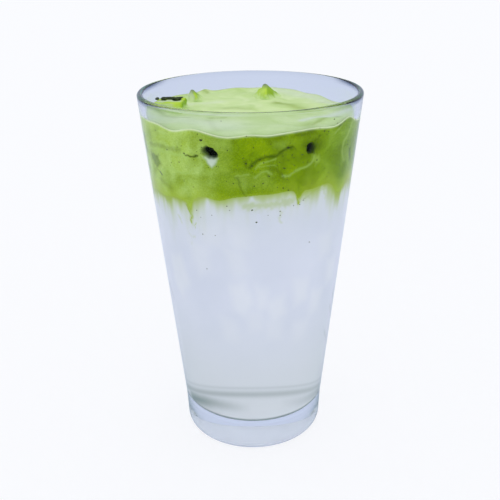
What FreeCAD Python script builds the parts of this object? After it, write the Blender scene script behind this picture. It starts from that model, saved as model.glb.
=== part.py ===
"""Iced matcha in a conical glass: the glass, the pale drink, the green cream and its ice.

The frame is in millimetres, +Z up, with the origin at the centre of the foot.
Azimuths are in degrees, anticlockwise from +X seen from above; the front is at -90.
"""
import FreeCAD, Part
import math
import os

import Sketcher
from FreeCAD import Placement, Rotation, Vector

doc = FreeCAD.newDocument("iced_matcha")

# ---------------------------------------------------------------- driving dimensions

GLASS_SIZES = {
    "tumbler_height": 150.0,
    "rim_radius": 43.9,
    "rim_wall": 2.25,
    "kink_radius": 31.0,     # where the straight taper meets the foot
    "kink_height": 13.4,
    "kink_blend": 60.0,      # the radius that eases the kink
    "foot_radius": 30.4,
    "heel_radius": 1.8,
    "base_wall": 2.75,       # the side wall where it meets the inner floor
    "floor_height": 13.6,    # the thick base, under the inner floor
    "floor_fillet": 3.2,
    "punt_radius": 25.0,     # the shallow dish under the base
    "punt_depth": 0.6,
}

FILLING_SIZES = {
    "headspace": 8.0,        # from the cream's mean level up to the rim
    "cream_depth": 24.3,
    "lip_rise": 0.7,         # the cream creeps up the wall
    "lip_reach": 1.6,
    "collar_rise": 0.6,      # the cream creeps up the ice
    "collar_reach": 3.5,
    "underside_tilt": 2.9,   # how far the cream's underside rises and falls round the wall
    "underside_high": -55.0,
    "ice_edge": 0.9,
    "ice_draft": 5.0,
}

# Each piece of ice: its size as cast, the azimuth it floats at, how near it comes to the
# wall, how far it stands over the cream, and how it lies (yaw, pitch and roll).
ICE_FIELDS = ("length", "width", "depth", "azimuth", "wall_gap", "rise", "yaw", "pitch", "roll")
ICE = {
    "ice_back": (16.0, 14.0, 10.0, 75.0, 6.6, 4.9, 12.0, 40.0, 110.0),
    "ice_left": (14.0, 12.0, 8.0, 133.0, 1.9, 3.4, 25.0, 38.0, 104.0),
    "ice_side": (14.0, 13.0, 15.0, 175.0, 0.5, 3.2, -6.0, 0.0, 0.0),
}

# Each drip under the cream: its azimuth, how far it hangs and its width.
DRIP_FIELDS = ("azimuth", "drop", "width")
DRIPS = (
    (-168.0, 1.6, 5.0),
    (-148.0, 2.3, 14.0),
    (-125.0, 6.4, 2.2),
    (-105.0, 0.9, 5.0),
    (-64.0, 4.4, 2.4),
    (-34.0, 6.6, 3.0),
    (-14.0, 3.0, 8.0),
    (24.0, 3.0, 6.0),
    (68.0, 4.6, 2.6),
    (108.0, 2.6, 7.0),
    (141.0, 5.6, 2.5),
    (172.0, 3.2, 5.0),
)

# Slow waves in a surface: rise, wavelength, heading and phase.
WAVE_FIELDS = ("rise", "wavelength", "heading", "phase")
TOP_WAVES = (
    (0.35, 46.0, 25.0, 40.0),
    (0.28, 29.0, -50.0, 200.0),
    (0.20, 19.0, 80.0, 310.0),
)
UNDERSIDE_WAVES = (
    (0.60, 31.0, 10.0, 90.0),
    (0.45, 21.0, -65.0, 250.0),
)

SHEET_ROWS = dict(GLASS_SIZES)
SHEET_ROWS.update(FILLING_SIZES)
for ice_name, ice_values in ICE.items():
    SHEET_ROWS.update({f"{ice_name}_{field}": value for field, value in zip(ICE_FIELDS, ice_values)})
for kind, fields, rows in (
    ("drip", DRIP_FIELDS, DRIPS),
    ("top_wave", WAVE_FIELDS, TOP_WAVES),
    ("underside_wave", WAVE_FIELDS, UNDERSIDE_WAVES),
):
    for number, row in enumerate(rows, start=1):
        SHEET_ROWS.update({f"{kind}_{number}_{field}": value for field, value in zip(fields, row)})

sheet = doc.addObject("Spreadsheet::Sheet", "sizes")
for line, (alias, value) in enumerate(SHEET_ROWS.items(), start=1):
    sheet.set(f"A{line}", alias)
    sheet.set(f"B{line}", str(value))
    sheet.setAlias(f"B{line}", alias)
doc.recompute()


def size(alias):
    """The sheet's value of one alias."""
    return float(sheet.get(alias))


def sizes_of(kind, fields):
    """One group of the sheet's values, such as all of a drip's."""
    return [size(f"{kind}_{field}") for field in fields]


# ---------------------------------------------------------------- sketch helpers

ORIGIN_POINT = (-1, 1)
ACROSS_AXIS = -1
UPRIGHT_AXIS = -2
START, END, CENTRE = 1, 2, 3


def origin_plane(body, role):
    """The named plane of a body's own origin."""
    return next(item for item in body.Origin.OriginFeatures if item.Role == role)


def new_sketch(body, name, role):
    """An empty sketch on one of the body's origin planes."""
    sketch = body.newObject("Sketcher::SketchObject", name)
    sketch.AttachmentSupport = [(origin_plane(body, role), "")]
    sketch.MapMode = "FlatFace"
    return sketch


def dimension(sketch, kind, name, expression, *where):
    """A named driving dimension, bound to the sheet; it starts at the value as drawn."""
    value = sketch.evalExpression(expression)
    index = sketch.addConstraint(Sketcher.Constraint(kind, *where, float(value)))
    sketch.renameConstraint(index, name)
    sketch.setExpression(f"Constraints.{name}", expression)


def ring_edge(shape, radius, height):
    """The name of the full circle nearest to a radius and height about the Z axis."""
    best = None
    for index, edge in enumerate(shape.Edges, start=1):
        if edge.Degenerated or not isinstance(edge.Curve, Part.Circle):
            continue
        miss = math.hypot(edge.Curve.Radius - radius, edge.Curve.Center.z - height)
        if best is None or miss < best[0]:
            best = (miss, f"Edge{index}")
    return best[1]


def ring_fillet(body, name, expression, radius, height):
    """Rounds one ring of a revolved body by a bound radius."""
    base = body.Tip
    fillet = body.newObject("PartDesign::Fillet", name)
    fillet.Base = (base, [ring_edge(base.Shape, radius, height)])
    fillet.setExpression("Radius", expression)
    doc.recompute()


# ---------------------------------------------------------------- the glass

def make_tumbler():
    """The conical glass: one half section with a rounded rim, turned about Z."""
    body = doc.addObject("PartDesign::Body", "tumbler")
    sketch = new_sketch(body, "tumbler_section", "XZ_Plane")

    height, rim, half_wall = size("tumbler_height"), size("rim_radius"), size("rim_wall") / 2
    foot, kink, kink_z = size("foot_radius"), size("kink_radius"), size("kink_height")
    corner, floor = kink - size("base_wall"), size("floor_height")
    punt, dish = size("punt_radius"), size("punt_depth")
    dish_radius = (punt**2 + dish**2) / (2 * dish)
    rim_centre = Vector(rim - half_wall, height - half_wall, 0)
    front = Vector(0, 0, 1)

    dish_arc = Part.ArcOfCircle(
        Part.Circle(Vector(0, dish - dish_radius, 0), front, dish_radius),
        math.acos(punt / dish_radius),
        math.pi / 2,
    )
    rim_arc = Part.ArcOfCircle(Part.Circle(rim_centre, front, half_wall), 0, math.pi)

    def line(start, end):
        return Part.LineSegment(Vector(*start, 0), Vector(*end, 0))

    # The blend at the kink: outside the glass where the wall flares from the foot, else inside.
    blend = size("kink_blend")
    foot_lean = math.atan2(kink - foot, kink_z)
    wall_lean = math.atan2(rim - kink, height - half_wall - kink_z)
    flares = wall_lean > foot_lean
    side = 1 if flares else -1
    half_turn = blend * math.tan(abs(wall_lean - foot_lean) / 2)
    blend_low = (kink - half_turn * math.sin(foot_lean), kink_z - half_turn * math.cos(foot_lean))
    blend_high = (kink + half_turn * math.sin(wall_lean), kink_z + half_turn * math.cos(wall_lean))
    blend_centre = Vector(
        blend_low[0] + side * blend * math.cos(foot_lean),
        blend_low[1] - side * blend * math.sin(foot_lean),
        0,
    )
    blend_angles = (math.pi - wall_lean, math.pi - foot_lean) if flares else (-foot_lean, -wall_lean)
    blend_arc = Part.ArcOfCircle(Part.Circle(blend_centre, front, blend), *blend_angles)
    low_end, high_end = (END, START) if flares else (START, END)

    (
        dish_edge, foot_edge, foot_side, kink_round, wall_outside,
        lip, wall_inside, floor_edge, axis_edge, kink_corner,
    ) = sketch.addGeometry(
        [
            dish_arc,
            line((punt, 0), (foot, 0)),
            line((foot, 0), blend_low),
            blend_arc,
            line(blend_high, (rim, height - half_wall)),
            rim_arc,
            line((rim - 2 * half_wall, height - half_wall), (corner, floor)),
            line((corner, floor), (0, floor)),
            line((0, floor), (0, dish)),
            Part.Point(Vector(kink, kink_z, 0)),
        ]
    )
    for first, first_end, second, second_end in (
        (dish_edge, START, foot_edge, START),
        (foot_edge, END, foot_side, START),
        (wall_inside, END, floor_edge, START),
        (floor_edge, END, axis_edge, START),
        (axis_edge, END, dish_edge, END),
    ):
        sketch.addConstraint(Sketcher.Constraint("Coincident", first, first_end, second, second_end))
    for first, first_end, second, second_end in (
        (foot_side, END, kink_round, low_end),
        (kink_round, high_end, wall_outside, START),
        (wall_outside, END, lip, START),
        (lip, END, wall_inside, START),
    ):
        sketch.addConstraint(Sketcher.Constraint("Tangent", first, first_end, second, second_end))
    sketch.addConstraint(Sketcher.Constraint("Horizontal", floor_edge))
    for taper in (foot_side, wall_outside):
        sketch.addConstraint(Sketcher.Constraint("PointOnObject", kink_corner, START, taper))
    for edge, point, axis in (
        (dish_edge, CENTRE, UPRIGHT_AXIS),
        (axis_edge, START, UPRIGHT_AXIS),
        (axis_edge, END, UPRIGHT_AXIS),
        (foot_edge, START, ACROSS_AXIS),
        (foot_edge, END, ACROSS_AXIS),
    ):
        sketch.addConstraint(Sketcher.Constraint("PointOnObject", edge, point, axis))

    for kind, name, expression, edge, point in (
        ("DistanceX", "dish_reach", "sizes.punt_radius", foot_edge, START),
        ("DistanceY", "dish_rise", "sizes.punt_depth", axis_edge, END),
        ("DistanceX", "foot_reach", "sizes.foot_radius", foot_edge, END),
        ("DistanceX", "kink_reach", "sizes.kink_radius", kink_corner, START),
        ("DistanceY", "kink_rise", "sizes.kink_height", kink_corner, START),
        ("DistanceX", "lip_reach", "sizes.rim_radius - sizes.rim_wall / 2", lip, CENTRE),
        ("DistanceY", "lip_rise", "sizes.tumbler_height - sizes.rim_wall / 2", lip, CENTRE),
        ("DistanceX", "corner_reach", "sizes.kink_radius - sizes.base_wall", floor_edge, START),
        ("DistanceY", "floor_rise", "sizes.floor_height", floor_edge, START),
    ):
        dimension(sketch, kind, name, expression, *ORIGIN_POINT, edge, point)
    dimension(sketch, "Radius", "lip_radius", "sizes.rim_wall / 2", lip)
    dimension(sketch, "Radius", "kink_radius", "sizes.kink_blend", kink_round)
    doc.recompute()

    turned = body.newObject("PartDesign::Revolution", "turned_glass")
    turned.Profile = sketch
    turned.ReferenceAxis = (sketch, ["V_Axis"])
    turned.Angle = 360
    sketch.Visibility = False
    doc.recompute()

    ring_fillet(body, "heel_round", "sizes.heel_radius", foot, 0)
    ring_fillet(body, "floor_round", "sizes.floor_fillet", corner, floor)
    return body


tumbler = make_tumbler()


def inner_radius(height):
    """The inside radius of the wall at a height above the inner floor."""
    rise = (height - size("floor_height")) / (size("tumbler_height") - size("floor_height"))
    low = size("kink_radius") - size("base_wall")
    high = size("rim_radius") - size("rim_wall")
    return low + (high - low) * rise


CREAM_LEVEL = size("tumbler_height") - size("headspace")
UNDERSIDE_LEVEL = CREAM_LEVEL - size("cream_depth")


def at_azimuth(radius, azimuth):
    """A point in plan from its radius and azimuth."""
    angle = math.radians(azimuth)
    return Vector(radius * math.cos(angle), radius * math.sin(angle), 0)


# ---------------------------------------------------------------- the ice

def cast_block(name):
    """A tray-cast piece of ice: a drafted block with every edge melted round."""
    body = doc.addObject("PartDesign::Body", name)
    sketch = new_sketch(body, f"{name}_outline", "XY_Plane")
    half_length, half_width = size(f"{name}_length") / 2, size(f"{name}_width") / 2
    corners = [
        Vector(-half_length, -half_width, 0),
        Vector(half_length, -half_width, 0),
        Vector(half_length, half_width, 0),
        Vector(-half_length, half_width, 0),
    ]
    sides = sketch.addGeometry(
        [Part.LineSegment(corners[side], corners[(side + 1) % 4]) for side in range(4)]
    )
    for side in range(4):
        joint = (sides[side], END, sides[(side + 1) % 4], START)
        sketch.addConstraint(Sketcher.Constraint("Coincident", *joint))
        direction = "Horizontal" if side % 2 == 0 else "Vertical"
        sketch.addConstraint(Sketcher.Constraint(direction, sides[side]))
    sketch.addConstraint(
        Sketcher.Constraint("Symmetric", sides[0], START, sides[2], START, *ORIGIN_POINT)
    )
    dimension(sketch, "DistanceX", "length", f"sizes.{name}_length", sides[0], START, sides[0], END)
    dimension(sketch, "DistanceY", "width", f"sizes.{name}_width", sides[1], START, sides[1], END)
    doc.recompute()

    pad = body.newObject("PartDesign::Pad", f"{name}_block")
    pad.Profile = sketch
    pad.setExpression("Length", f"sizes.{name}_depth")
    pad.setExpression("TaperAngle", "-sizes.ice_draft")
    sketch.Visibility = False
    doc.recompute()

    melted = body.newObject("PartDesign::Fillet", f"{name}_melted")
    melted.Base = (pad, [f"Edge{index + 1}" for index in range(len(pad.Shape.Edges))])
    melted.setExpression("Radius", "sizes.ice_edge")
    doc.recompute()
    return body


def seat_ice(name):
    """Casts one piece of ice and floats it out towards the wall, as far as its gap allows."""
    body = cast_block(name)
    azimuth, wall_gap, rise, yaw, pitch, roll = sizes_of(name, ICE_FIELDS[3:])
    lie = Rotation(yaw, pitch, roll)
    corners = [lie.multVec(vertex.Point) for vertex in body.Shape.Vertexes]
    highest = max(corners, key=lambda corner: corner.z)
    lift = CREAM_LEVEL + rise - highest.z
    outward = at_azimuth(1, azimuth)
    reaches = []
    for corner in corners:
        room = inner_radius(corner.z + lift) - wall_gap
        along = corner.x * outward.x + corner.y * outward.y
        aside = corner.x * outward.y - corner.y * outward.x
        reaches.append(math.sqrt(room**2 - aside**2) - along)
    body.Placement = Placement(outward * min(reaches) + Vector(0, 0, lift), lie)
    return body, highest + body.Placement.Base


ice_pieces, ice_peaks = zip(*(seat_ice(name) for name in ICE))

# ---------------------------------------------------------------- the uneven surfaces

SURFACE_SPACING = 1.7    # between the points that a surface passes through
SURFACE_MARGIN = 2.0     # how far a surface runs past the wall


def waves_at(x, y, waves):
    """The summed height of several slow waves at a point in plan."""
    total = 0.0
    for rise, wavelength, heading, phase in waves:
        along = x * math.cos(math.radians(heading)) + y * math.sin(math.radians(heading))
        total += rise * math.sin(2 * math.pi * along / wavelength + math.radians(phase))
    return total


def mound(distance, reach):
    """A bell-shaped bump of height 1 that fades out over its reach."""
    return math.exp(-0.5 * (distance / reach) ** 2)


top_waves = [sizes_of(f"top_wave_{n}", WAVE_FIELDS) for n in range(1, len(TOP_WAVES) + 1)]
underside_waves = [
    sizes_of(f"underside_wave_{n}", WAVE_FIELDS) for n in range(1, len(UNDERSIDE_WAVES) + 1)
]
drips = [sizes_of(f"drip_{n}", DRIP_FIELDS) for n in range(1, len(DRIPS) + 1)]


def top_height(x, y):
    """The cream's top: slow waves, a lip up the wall and a collar up each piece of ice."""
    to_wall = max(inner_radius(CREAM_LEVEL) - math.hypot(x, y), 0)
    lip = size("lip_rise") * math.exp(-to_wall / size("lip_reach"))
    collar = 0.0
    for peak in ice_peaks:
        distance = math.hypot(x - peak.x, y - peak.y)
        collar = max(collar, size("collar_rise") * mound(distance, size("collar_reach")))
    return CREAM_LEVEL - size("lip_rise") / 2 + waves_at(x, y, top_waves) + lip + collar


def underside_height(x, y):
    """The cream's underside: slow waves, a tilt round the wall, and the drips below it."""
    wall = inner_radius(UNDERSIDE_LEVEL)
    out = min(math.hypot(x, y) / wall, 1.0)
    turn = math.atan2(y, x) - math.radians(size("underside_high"))
    height = UNDERSIDE_LEVEL + size("underside_tilt") * out * math.cos(turn)
    for azimuth, drop, width in drips:
        foot = at_azimuth(wall, azimuth)
        height -= drop * mound(math.hypot(x - foot.x, y - foot.y), width)
    return height + waves_at(x, y, underside_waves)


def block_below(name, height_at, reach, thickness):
    """A block of some thickness whose top is a smooth surface of given heights."""
    steps = math.ceil(2 * reach / SURFACE_SPACING)
    places = [reach * (2 * step / steps - 1) for step in range(steps + 1)]
    surface = Part.BSplineSurface()
    surface.interpolate([[Vector(x, y, height_at(x, y)) for y in places] for x in places])
    block = doc.addObject("Part::Feature", name)
    block.Shape = surface.toShape().extrude(Vector(0, 0, -thickness))
    return block


surface_reach = inner_radius(size("tumbler_height")) + SURFACE_MARGIN
under_top = block_below("under_top", top_height, surface_reach, size("tumbler_height"))
under_cream = block_below("under_cream", underside_height, surface_reach, size("tumbler_height"))

# ---------------------------------------------------------------- the filling

# A cone that ends inside the glass wall all round: less the glass, it is what the glass holds.
core = doc.addObject("Part::Cone", "filling_core")
core.setExpression("Radius1", "sizes.kink_radius - sizes.base_wall / 2")
core.setExpression("Radius2", "sizes.rim_radius - sizes.rim_wall / 2")
core.setExpression("Height", "sizes.tumbler_height - sizes.rim_wall / 2 - sizes.floor_height / 2")
core.setExpression(".Placement.Base.z", "sizes.floor_height / 2")


def boolean(kind, name, base, tool):
    """A Part boolean of two document objects."""
    result = doc.addObject(kind, name)
    result.Base = base
    result.Tool = tool
    return result


all_ice = doc.addObject("Part::Compound", "all_ice")
all_ice.Links = list(ice_pieces)
inside = boolean("Part::Cut", "inside", core, tumbler)
up_to_top = boolean("Part::Common", "up_to_top", inside, under_top)
cream_layer = boolean("Part::Cut", "cream_layer", up_to_top, under_cream)
drink_layer = boolean("Part::Common", "drink_layer", inside, under_cream)
matcha_cream = boolean("Part::Cut", "matcha_cream", cream_layer, all_ice)
pale_drink = boolean("Part::Cut", "pale_drink", drink_layer, all_ice)
doc.recompute()

# ---------------------------------------------------------------- checks and export

SUB_PARTS = [tumbler, pale_drink, matcha_cream, *ice_pieces]

for item in doc.Objects:
    if "Invalid" in item.State or "Error" in item.State:
        raise RuntimeError(f"{item.Label} did not recompute: {item.State}")
if not doc.getObject("tumbler_section").FullyConstrained:
    raise RuntimeError("the glass section is not fully constrained")
for item in SUB_PARTS:
    if item.Shape.isNull() or not item.Shape.isValid() or len(item.Shape.Solids) != 1:
        raise RuntimeError(f"{item.Label} is not one valid solid")

os.makedirs("parts", exist_ok=True)
for item in SUB_PARTS:
    item.Shape.exportStep(f"parts/{item.Label}.step")
    box = item.Shape.BoundBox
    print(f"{item.Label}: {item.Shape.Volume / 1000:.1f} cm3, z {box.ZMin:.2f} to {box.ZMax:.2f}")
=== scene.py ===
"""Iced matcha in a conical glass: the looks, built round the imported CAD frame.

Sizes are written in millimetres and turned to metres once, where a mesh is made. Azimuths are
in degrees, anticlockwise from +X seen from above, so the front of the drink faces -90.
"""

import logging
import math
from dataclasses import dataclass, field
from enum import Enum
from typing import Any, ClassVar, Optional, Sequence

import bmesh
import bpy
import numpy as np
from mathutils import Matrix, Vector

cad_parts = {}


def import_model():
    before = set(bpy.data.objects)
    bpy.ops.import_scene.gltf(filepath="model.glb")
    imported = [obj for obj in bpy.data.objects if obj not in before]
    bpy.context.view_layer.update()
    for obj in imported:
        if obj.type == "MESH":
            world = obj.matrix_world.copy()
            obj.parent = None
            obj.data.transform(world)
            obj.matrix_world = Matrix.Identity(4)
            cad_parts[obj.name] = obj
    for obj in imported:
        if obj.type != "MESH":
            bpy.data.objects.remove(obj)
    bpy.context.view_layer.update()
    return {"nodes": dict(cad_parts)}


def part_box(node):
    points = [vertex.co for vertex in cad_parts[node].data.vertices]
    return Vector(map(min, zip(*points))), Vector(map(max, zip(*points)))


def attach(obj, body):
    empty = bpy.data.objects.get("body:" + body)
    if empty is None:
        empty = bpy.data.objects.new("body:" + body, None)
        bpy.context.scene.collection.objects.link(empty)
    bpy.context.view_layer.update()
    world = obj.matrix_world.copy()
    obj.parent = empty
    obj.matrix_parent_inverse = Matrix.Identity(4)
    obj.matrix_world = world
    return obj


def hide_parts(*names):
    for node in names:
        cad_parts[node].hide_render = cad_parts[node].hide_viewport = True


log = logging.getLogger("iced_matcha")

MM = 0.001
ROOT = "root"
HEADSPACE = 8.0                            # mm from the rim down to the cream

Array = np.ndarray
Socket = bpy.types.NodeSocket
Tree = bpy.types.NodeTree
Stops = tuple[tuple[float, str], ...]      # a colour ramp's places, 0 to 1, and hex colours
Layers = tuple[tuple[str, Any], ...]       # mask names, and the tone that each lays on


class Slot(Enum):
    """Names of the material slots."""

    GLASS = "clear_glass"
    DRINK = "pale_drink"
    CREAM = "matcha_cream"
    ICE = "coated_ice"


# ------------------------------------------------------------------ colours and nodes


def linear(hex_colour: str) -> tuple[float, float, float, float]:
    """Turns an sRGB hex colour to linear RGBA.

    Args:
        hex_colour: a colour such as "#7A9E08".

    Returns:
        Linear red, green, blue and an alpha of 1.
    """
    values = [int(hex_colour[i:i + 2], 16) / 255 for i in (1, 3, 5)]
    channels = [v / 12.92 if v <= 0.04045 else ((v + 0.055) / 1.055) ** 2.4 for v in values]
    return (*channels, 1.0)


def add_node(
    tree: Tree,
    kind: str,
    settings: Optional[dict[str, Any]] = None,
    inputs: Optional[dict[Any, Any]] = None,
    stops: Stops = (),
) -> bpy.types.Node:
    """Adds one node with its settings and links.

    Args:
        tree: the node tree that gets the node.
        kind: the node's type name, such as "ShaderNodeTexNoise".
        settings: properties of the node.
        inputs: values by input name or number. A socket is linked, a hex colour made linear.
        stops: the stops of a colour ramp, in rising order.

    Returns:
        The new node.
    """
    node = tree.nodes.new(kind)
    for name, value in (settings or {}).items():
        setattr(node, name, value)
    for socket, value in (inputs or {}).items():
        if isinstance(value, Socket):
            tree.links.new(value, node.inputs[socket])
        else:
            value = linear(value) if isinstance(value, str) else value
            node.inputs[socket].default_value = value
    if stops:
        elements = node.color_ramp.elements
        elements.remove(elements[-1])
        elements[0].position = stops[0][0]
        for place, _ in stops[1:]:
            elements.new(place)
        for element, (_, colour) in zip(elements, stops):
            element.color = linear(colour)
    return node


def lay_over(tree: Tree, colour: Any, layers: Layers) -> Any:
    """Lays tones over a colour, each as strongly as the mesh's mask of that name says.

    Args:
        tree: the material's node tree.
        colour: the colour below, as a socket or a hex colour.
        layers: the masks' names and the tones, in the order that they are laid on.

    Returns:
        The socket of the colour that shows.
    """
    for mask, tone in layers:
        share = add_node(tree, "ShaderNodeAttribute", {"attribute_name": mask}).outputs["Fac"]
        mix = add_node(
            tree, "ShaderNodeMix", {"data_type": "RGBA"}, {"Factor": share, 6: colour, 7: tone}
        )
        colour = mix.outputs[2]
    return colour


@dataclass(frozen=True)
class Mottle:
    """Soft uneven patches of a real size that run through a piece.

    Args:
        size: the patches' size in mm.
        detail: how many finer patches lie in them.
        distortion: how far they are pulled about.
    """

    size: float
    detail: float = 2.0
    distortion: float = 0.0

    def height(self, tree: Tree) -> Socket:
        """Adds the patches to a material.

        Args:
            tree: the material's node tree.

        Returns:
            The socket of their height, 0 to 1.
        """
        inputs = {
            "Vector": add_node(tree, "ShaderNodeTexCoord").outputs["Object"],
            "Scale": 1 / (self.size * MM),
            "Detail": self.detail,
            "Distortion": self.distortion,
        }
        return add_node(tree, "ShaderNodeTexNoise", inputs=inputs).outputs["Fac"]

    def toned(self, tree: Tree, stops: Stops) -> Socket:
        """Colours the patches by their height.

        Args:
            tree: the material's node tree.
            stops: the heights and their colours.

        Returns:
            The colour's socket.
        """
        inputs = {"Fac": self.height(tree)}
        return add_node(tree, "ShaderNodeValToRGB", inputs=inputs, stops=stops).outputs["Color"]


# ------------------------------------------------------------------ finishes


class Finish:
    """What a piece's surface is made of. Each finish has its own name and shader values."""

    name: ClassVar[str]

    def surface(self, tree: Tree) -> dict[str, Any]:
        """The values and links of the shader's inputs."""
        raise NotImplementedError

    def shader(self, tree: Tree) -> Socket:
        """Adds the shader that the surface is made of.

        Args:
            tree: the material's node tree.

        Returns:
            The shader's socket.
        """
        values = self.surface(tree)
        return add_node(tree, "ShaderNodeBsdfPrincipled", inputs=values).outputs["BSDF"]

    def make(self) -> bpy.types.Material:
        """Makes the material.

        Returns:
            The new material.
        """
        material = bpy.data.materials.new(self.name)
        material.use_nodes = True
        tree = material.node_tree
        tree.nodes.clear()
        add_node(tree, "ShaderNodeOutputMaterial", inputs={"Surface": self.shader(tree)})
        return material


@dataclass(frozen=True)
class SodaLimeGlass(Finish):
    """Pressed and fire-polished soda-lime glass: clear, smooth, faintly blue in its thickness.

    Looked along its wall, a long way in glass turns it a deep blue. The same deep blue is laid on the
    lip at both sides and round the heel as painted shade.
    """

    name: ClassVar[str] = "fire_polished_soda_lime_glass"
    tint: str = "#F2F5FB"          # a faint cool tone in its thickness
    deep: str = "#083C72"          # the tone where the eye looks along the wall, and the painted shade on the lip and the heel
    underneath: str = "#DCE2FA"    # the tone that the thick base gives from below
    edge_tint: str = "#404040"     # mirrors little head-on, fully at a glancing angle
    ior: float = 1.5
    glancing: tuple[float, float] = (0.78, 0.97)    # where the wall starts to deepen, and ends
    glancing_share: float = 0.6    # how deep it gets there

    def surface(self, tree: Tree) -> dict[str, Any]:
        """Deepens the glass where the eye looks along its wall, lays painted shade on its lip and its
        heel, and tones its base.

        Args:
            tree: the material's node tree.

        Returns:
            The values and links of the shader's inputs.
        """
        facing = add_node(tree, "ShaderNodeLayerWeight", inputs={"Blend": 0.5})
        start, full = self.glancing
        grazing = add_node(
            tree,
            "ShaderNodeMapRange",
            inputs={
                "Value": facing.outputs["Facing"],
                "From Min": start,
                "From Max": full,
                "To Max": self.glancing_share,
            },
        )
        thick = add_node(tree, "ShaderNodeAttribute", {"attribute_name": "thick_wall"})
        along = add_node(
            tree,
            "ShaderNodeMath",
            {"operation": "MULTIPLY"},
            {0: grazing.outputs[0], 1: thick.outputs["Fac"]},
        )
        tone = add_node(
            tree,
            "ShaderNodeMix",
            {"data_type": "RGBA"},
            {"Factor": along.outputs[0], 6: self.tint, 7: self.deep},
        )
        # painted shade: a deep blue line on the lip at both sides and round the heel
        edges = (("base_face", self.underneath), ("painted_edge_shade", self.deep))
        return {
            "Base Color": lay_over(tree, tone.outputs[2], edges),
            "Roughness": 0.0,
            "IOR": self.ior,
            "Transmission Weight": 1.0,
            "Specular Tint": self.edge_tint,
        }


@dataclass(frozen=True)
class CloudyDrink(Finish):
    """A thin milky drink: fine droplets scatter a cool white, with faces of sunk ice behind."""

    name: ClassVar[str] = "cloudy_drink"
    haze: Stops = ((0.3, "#ECF0F9"), (0.7, "#F2F5FD"))
    clouds: Mottle = Mottle(18.0)
    layers: Layers = (
        ("ice_glow", "#FCFEFF"),       # where a face of ice stands close behind the glass
        ("settled", "#EBEFF0"),        # a little greyer low down
        ("foot_shade", "#5E7A70"),     # painted shade and reflection: the thick foot mirrored, the inner corner, edges of sunk ice
        ("powder_thread", "#4E6206"),  # a thread of undissolved powder
    )
    sinking: Stops = ((0.2, "#DAE4C4"), (0.55, "#C3D67E"), (0.95, "#B0C83C"))   # thin to thick
    sinking_gain: float = 1.35     # cream hides the drink before it is at its thickest
    ior: float = 1.333
    clearness: float = 0.1

    def surface(self, tree: Tree) -> dict[str, Any]:
        """Clouds the drink, then lets cream sink into it from above.

        Args:
            tree: the material's node tree.

        Returns:
            The values and links of the shader's inputs.
        """
        colour = lay_over(tree, self.clouds.toned(tree, self.haze), self.layers)
        amount = add_node(tree, "ShaderNodeAttribute", {"attribute_name": "cream_stain"})
        amount = amount.outputs["Fac"]
        cream = add_node(tree, "ShaderNodeValToRGB", inputs={"Fac": amount}, stops=self.sinking)
        share = add_node(
            tree,
            "ShaderNodeMath",
            {"operation": "MULTIPLY", "use_clamp": True},
            {0: amount, 1: self.sinking_gain},
        )
        mix = add_node(
            tree,
            "ShaderNodeMix",
            {"data_type": "RGBA"},
            {"Factor": share.outputs[0], 6: colour, 7: cream.outputs["Color"]},
        )
        return {
            "Base Color": mix.outputs[2],
            "Roughness": 0.0,
            "IOR": self.ior,
            "Transmission Weight": self.clearness,
        }


@dataclass(frozen=True)
class WhippedMatcha(Finish):
    """Whipped matcha cream: wet and deep green against the glass, pale and matt in the air, and its top
    painted paler as lit from above.

    More air makes it paler and greyer, so each patch has its own share of air, and its side
    toward the light, at the left and back, is painted paler. Its fine bubbles show as a grain,
    drawn a little coarser than they are.
    """

    name: ClassVar[str] = "whipped_matcha_cream"
    swirls: Mottle = Mottle(9.0, 4.0, 0.8)     # the folds left by the whisk
    wet: Stops = ((0.32, "#718E00"), (0.5, "#83A300"), (0.68, "#97B600"))
    greyed: Stops = ((0.32, "#7A9A04"), (0.5, "#84A618"), (0.68, "#90B430"))
    # paler tones, for more air and for painted light on the left side
    airy: Stops = ((0.32, "#B2CE4C"), (0.5, "#BCD86C"), (0.68, "#C7E288"))
    lit_open_foam: Stops = ((0.32, "#C2DD90"), (0.5, "#CCE49E"), (0.68, "#D6EAAE"))
    bubbles: Mottle = Mottle(0.55)
    grain: Stops = ((0.36, "#9E9E9E"), (0.5, "#BCBCBC"), (0.64, "#D8D8D8"))
    grain_share: float = 0.6
    grain_depth: float = 0.2       # mm
    grain_bump: float = 0.12
    # crease lays painted shade in the folds of the cream
    at_the_wall: Layers = (
        ("crease", "#3C5404"), ("vein", "#B8D66E"), ("frost", "#E2EDE8"),
        # pocket lays near-black painted shade in the air pockets
        ("low_line", "#B4CC3E"), ("top_line", "#ECF7CF"), ("pocket", "#0A1400"),
    )
    on_top: Layers = (("stirred", "#93B048"), ("gleam", "#E0EADC"))
    ior: float = 1.35

    def surface(self, tree: Tree) -> dict[str, Any]:
        """Colours the cream by its air and its wetness, with the marks that the whisk left, painted
        shade in its folds and pockets, and painted light on its top and its left side.

        Args:
            tree: the material's node tree.

        Returns:
            The values and links of the shader's inputs.
        """
        wet, greyed, airy, lit_foam = (
            self.swirls.toned(tree, tones)
            for tones in (self.wet, self.greyed, self.airy, self.lit_open_foam)
        )
        colour = lay_over(tree, wet, (("greyed", greyed), ("airy", airy)))
        grained = add_node(
            tree,
            "ShaderNodeMix",
            {"data_type": "RGBA", "blend_type": "SOFT_LIGHT"},
            {"Factor": self.grain_share, 6: colour, 7: self.bubbles.toned(tree, self.grain)},
        )
        colour = lay_over(tree, grained.outputs[2], self.at_the_wall)
        # painted light: the whole top is paler, as lit from above, besides having more air
        colour = lay_over(tree, colour, (("in_air", lay_over(tree, lit_foam, self.on_top)),))
        bump = add_node(
            tree,
            "ShaderNodeBump",
            inputs={
                "Strength": self.grain_bump,
                "Distance": self.grain_depth * MM,
                "Height": self.bubbles.height(tree),
            },
        )
        return {
            "Base Color": colour,
            "Roughness": 0.5,
            "IOR": self.ior,
            "Specular IOR Level": 0.12,
            "Normal": bump.outputs["Normal"],
        }


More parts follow.
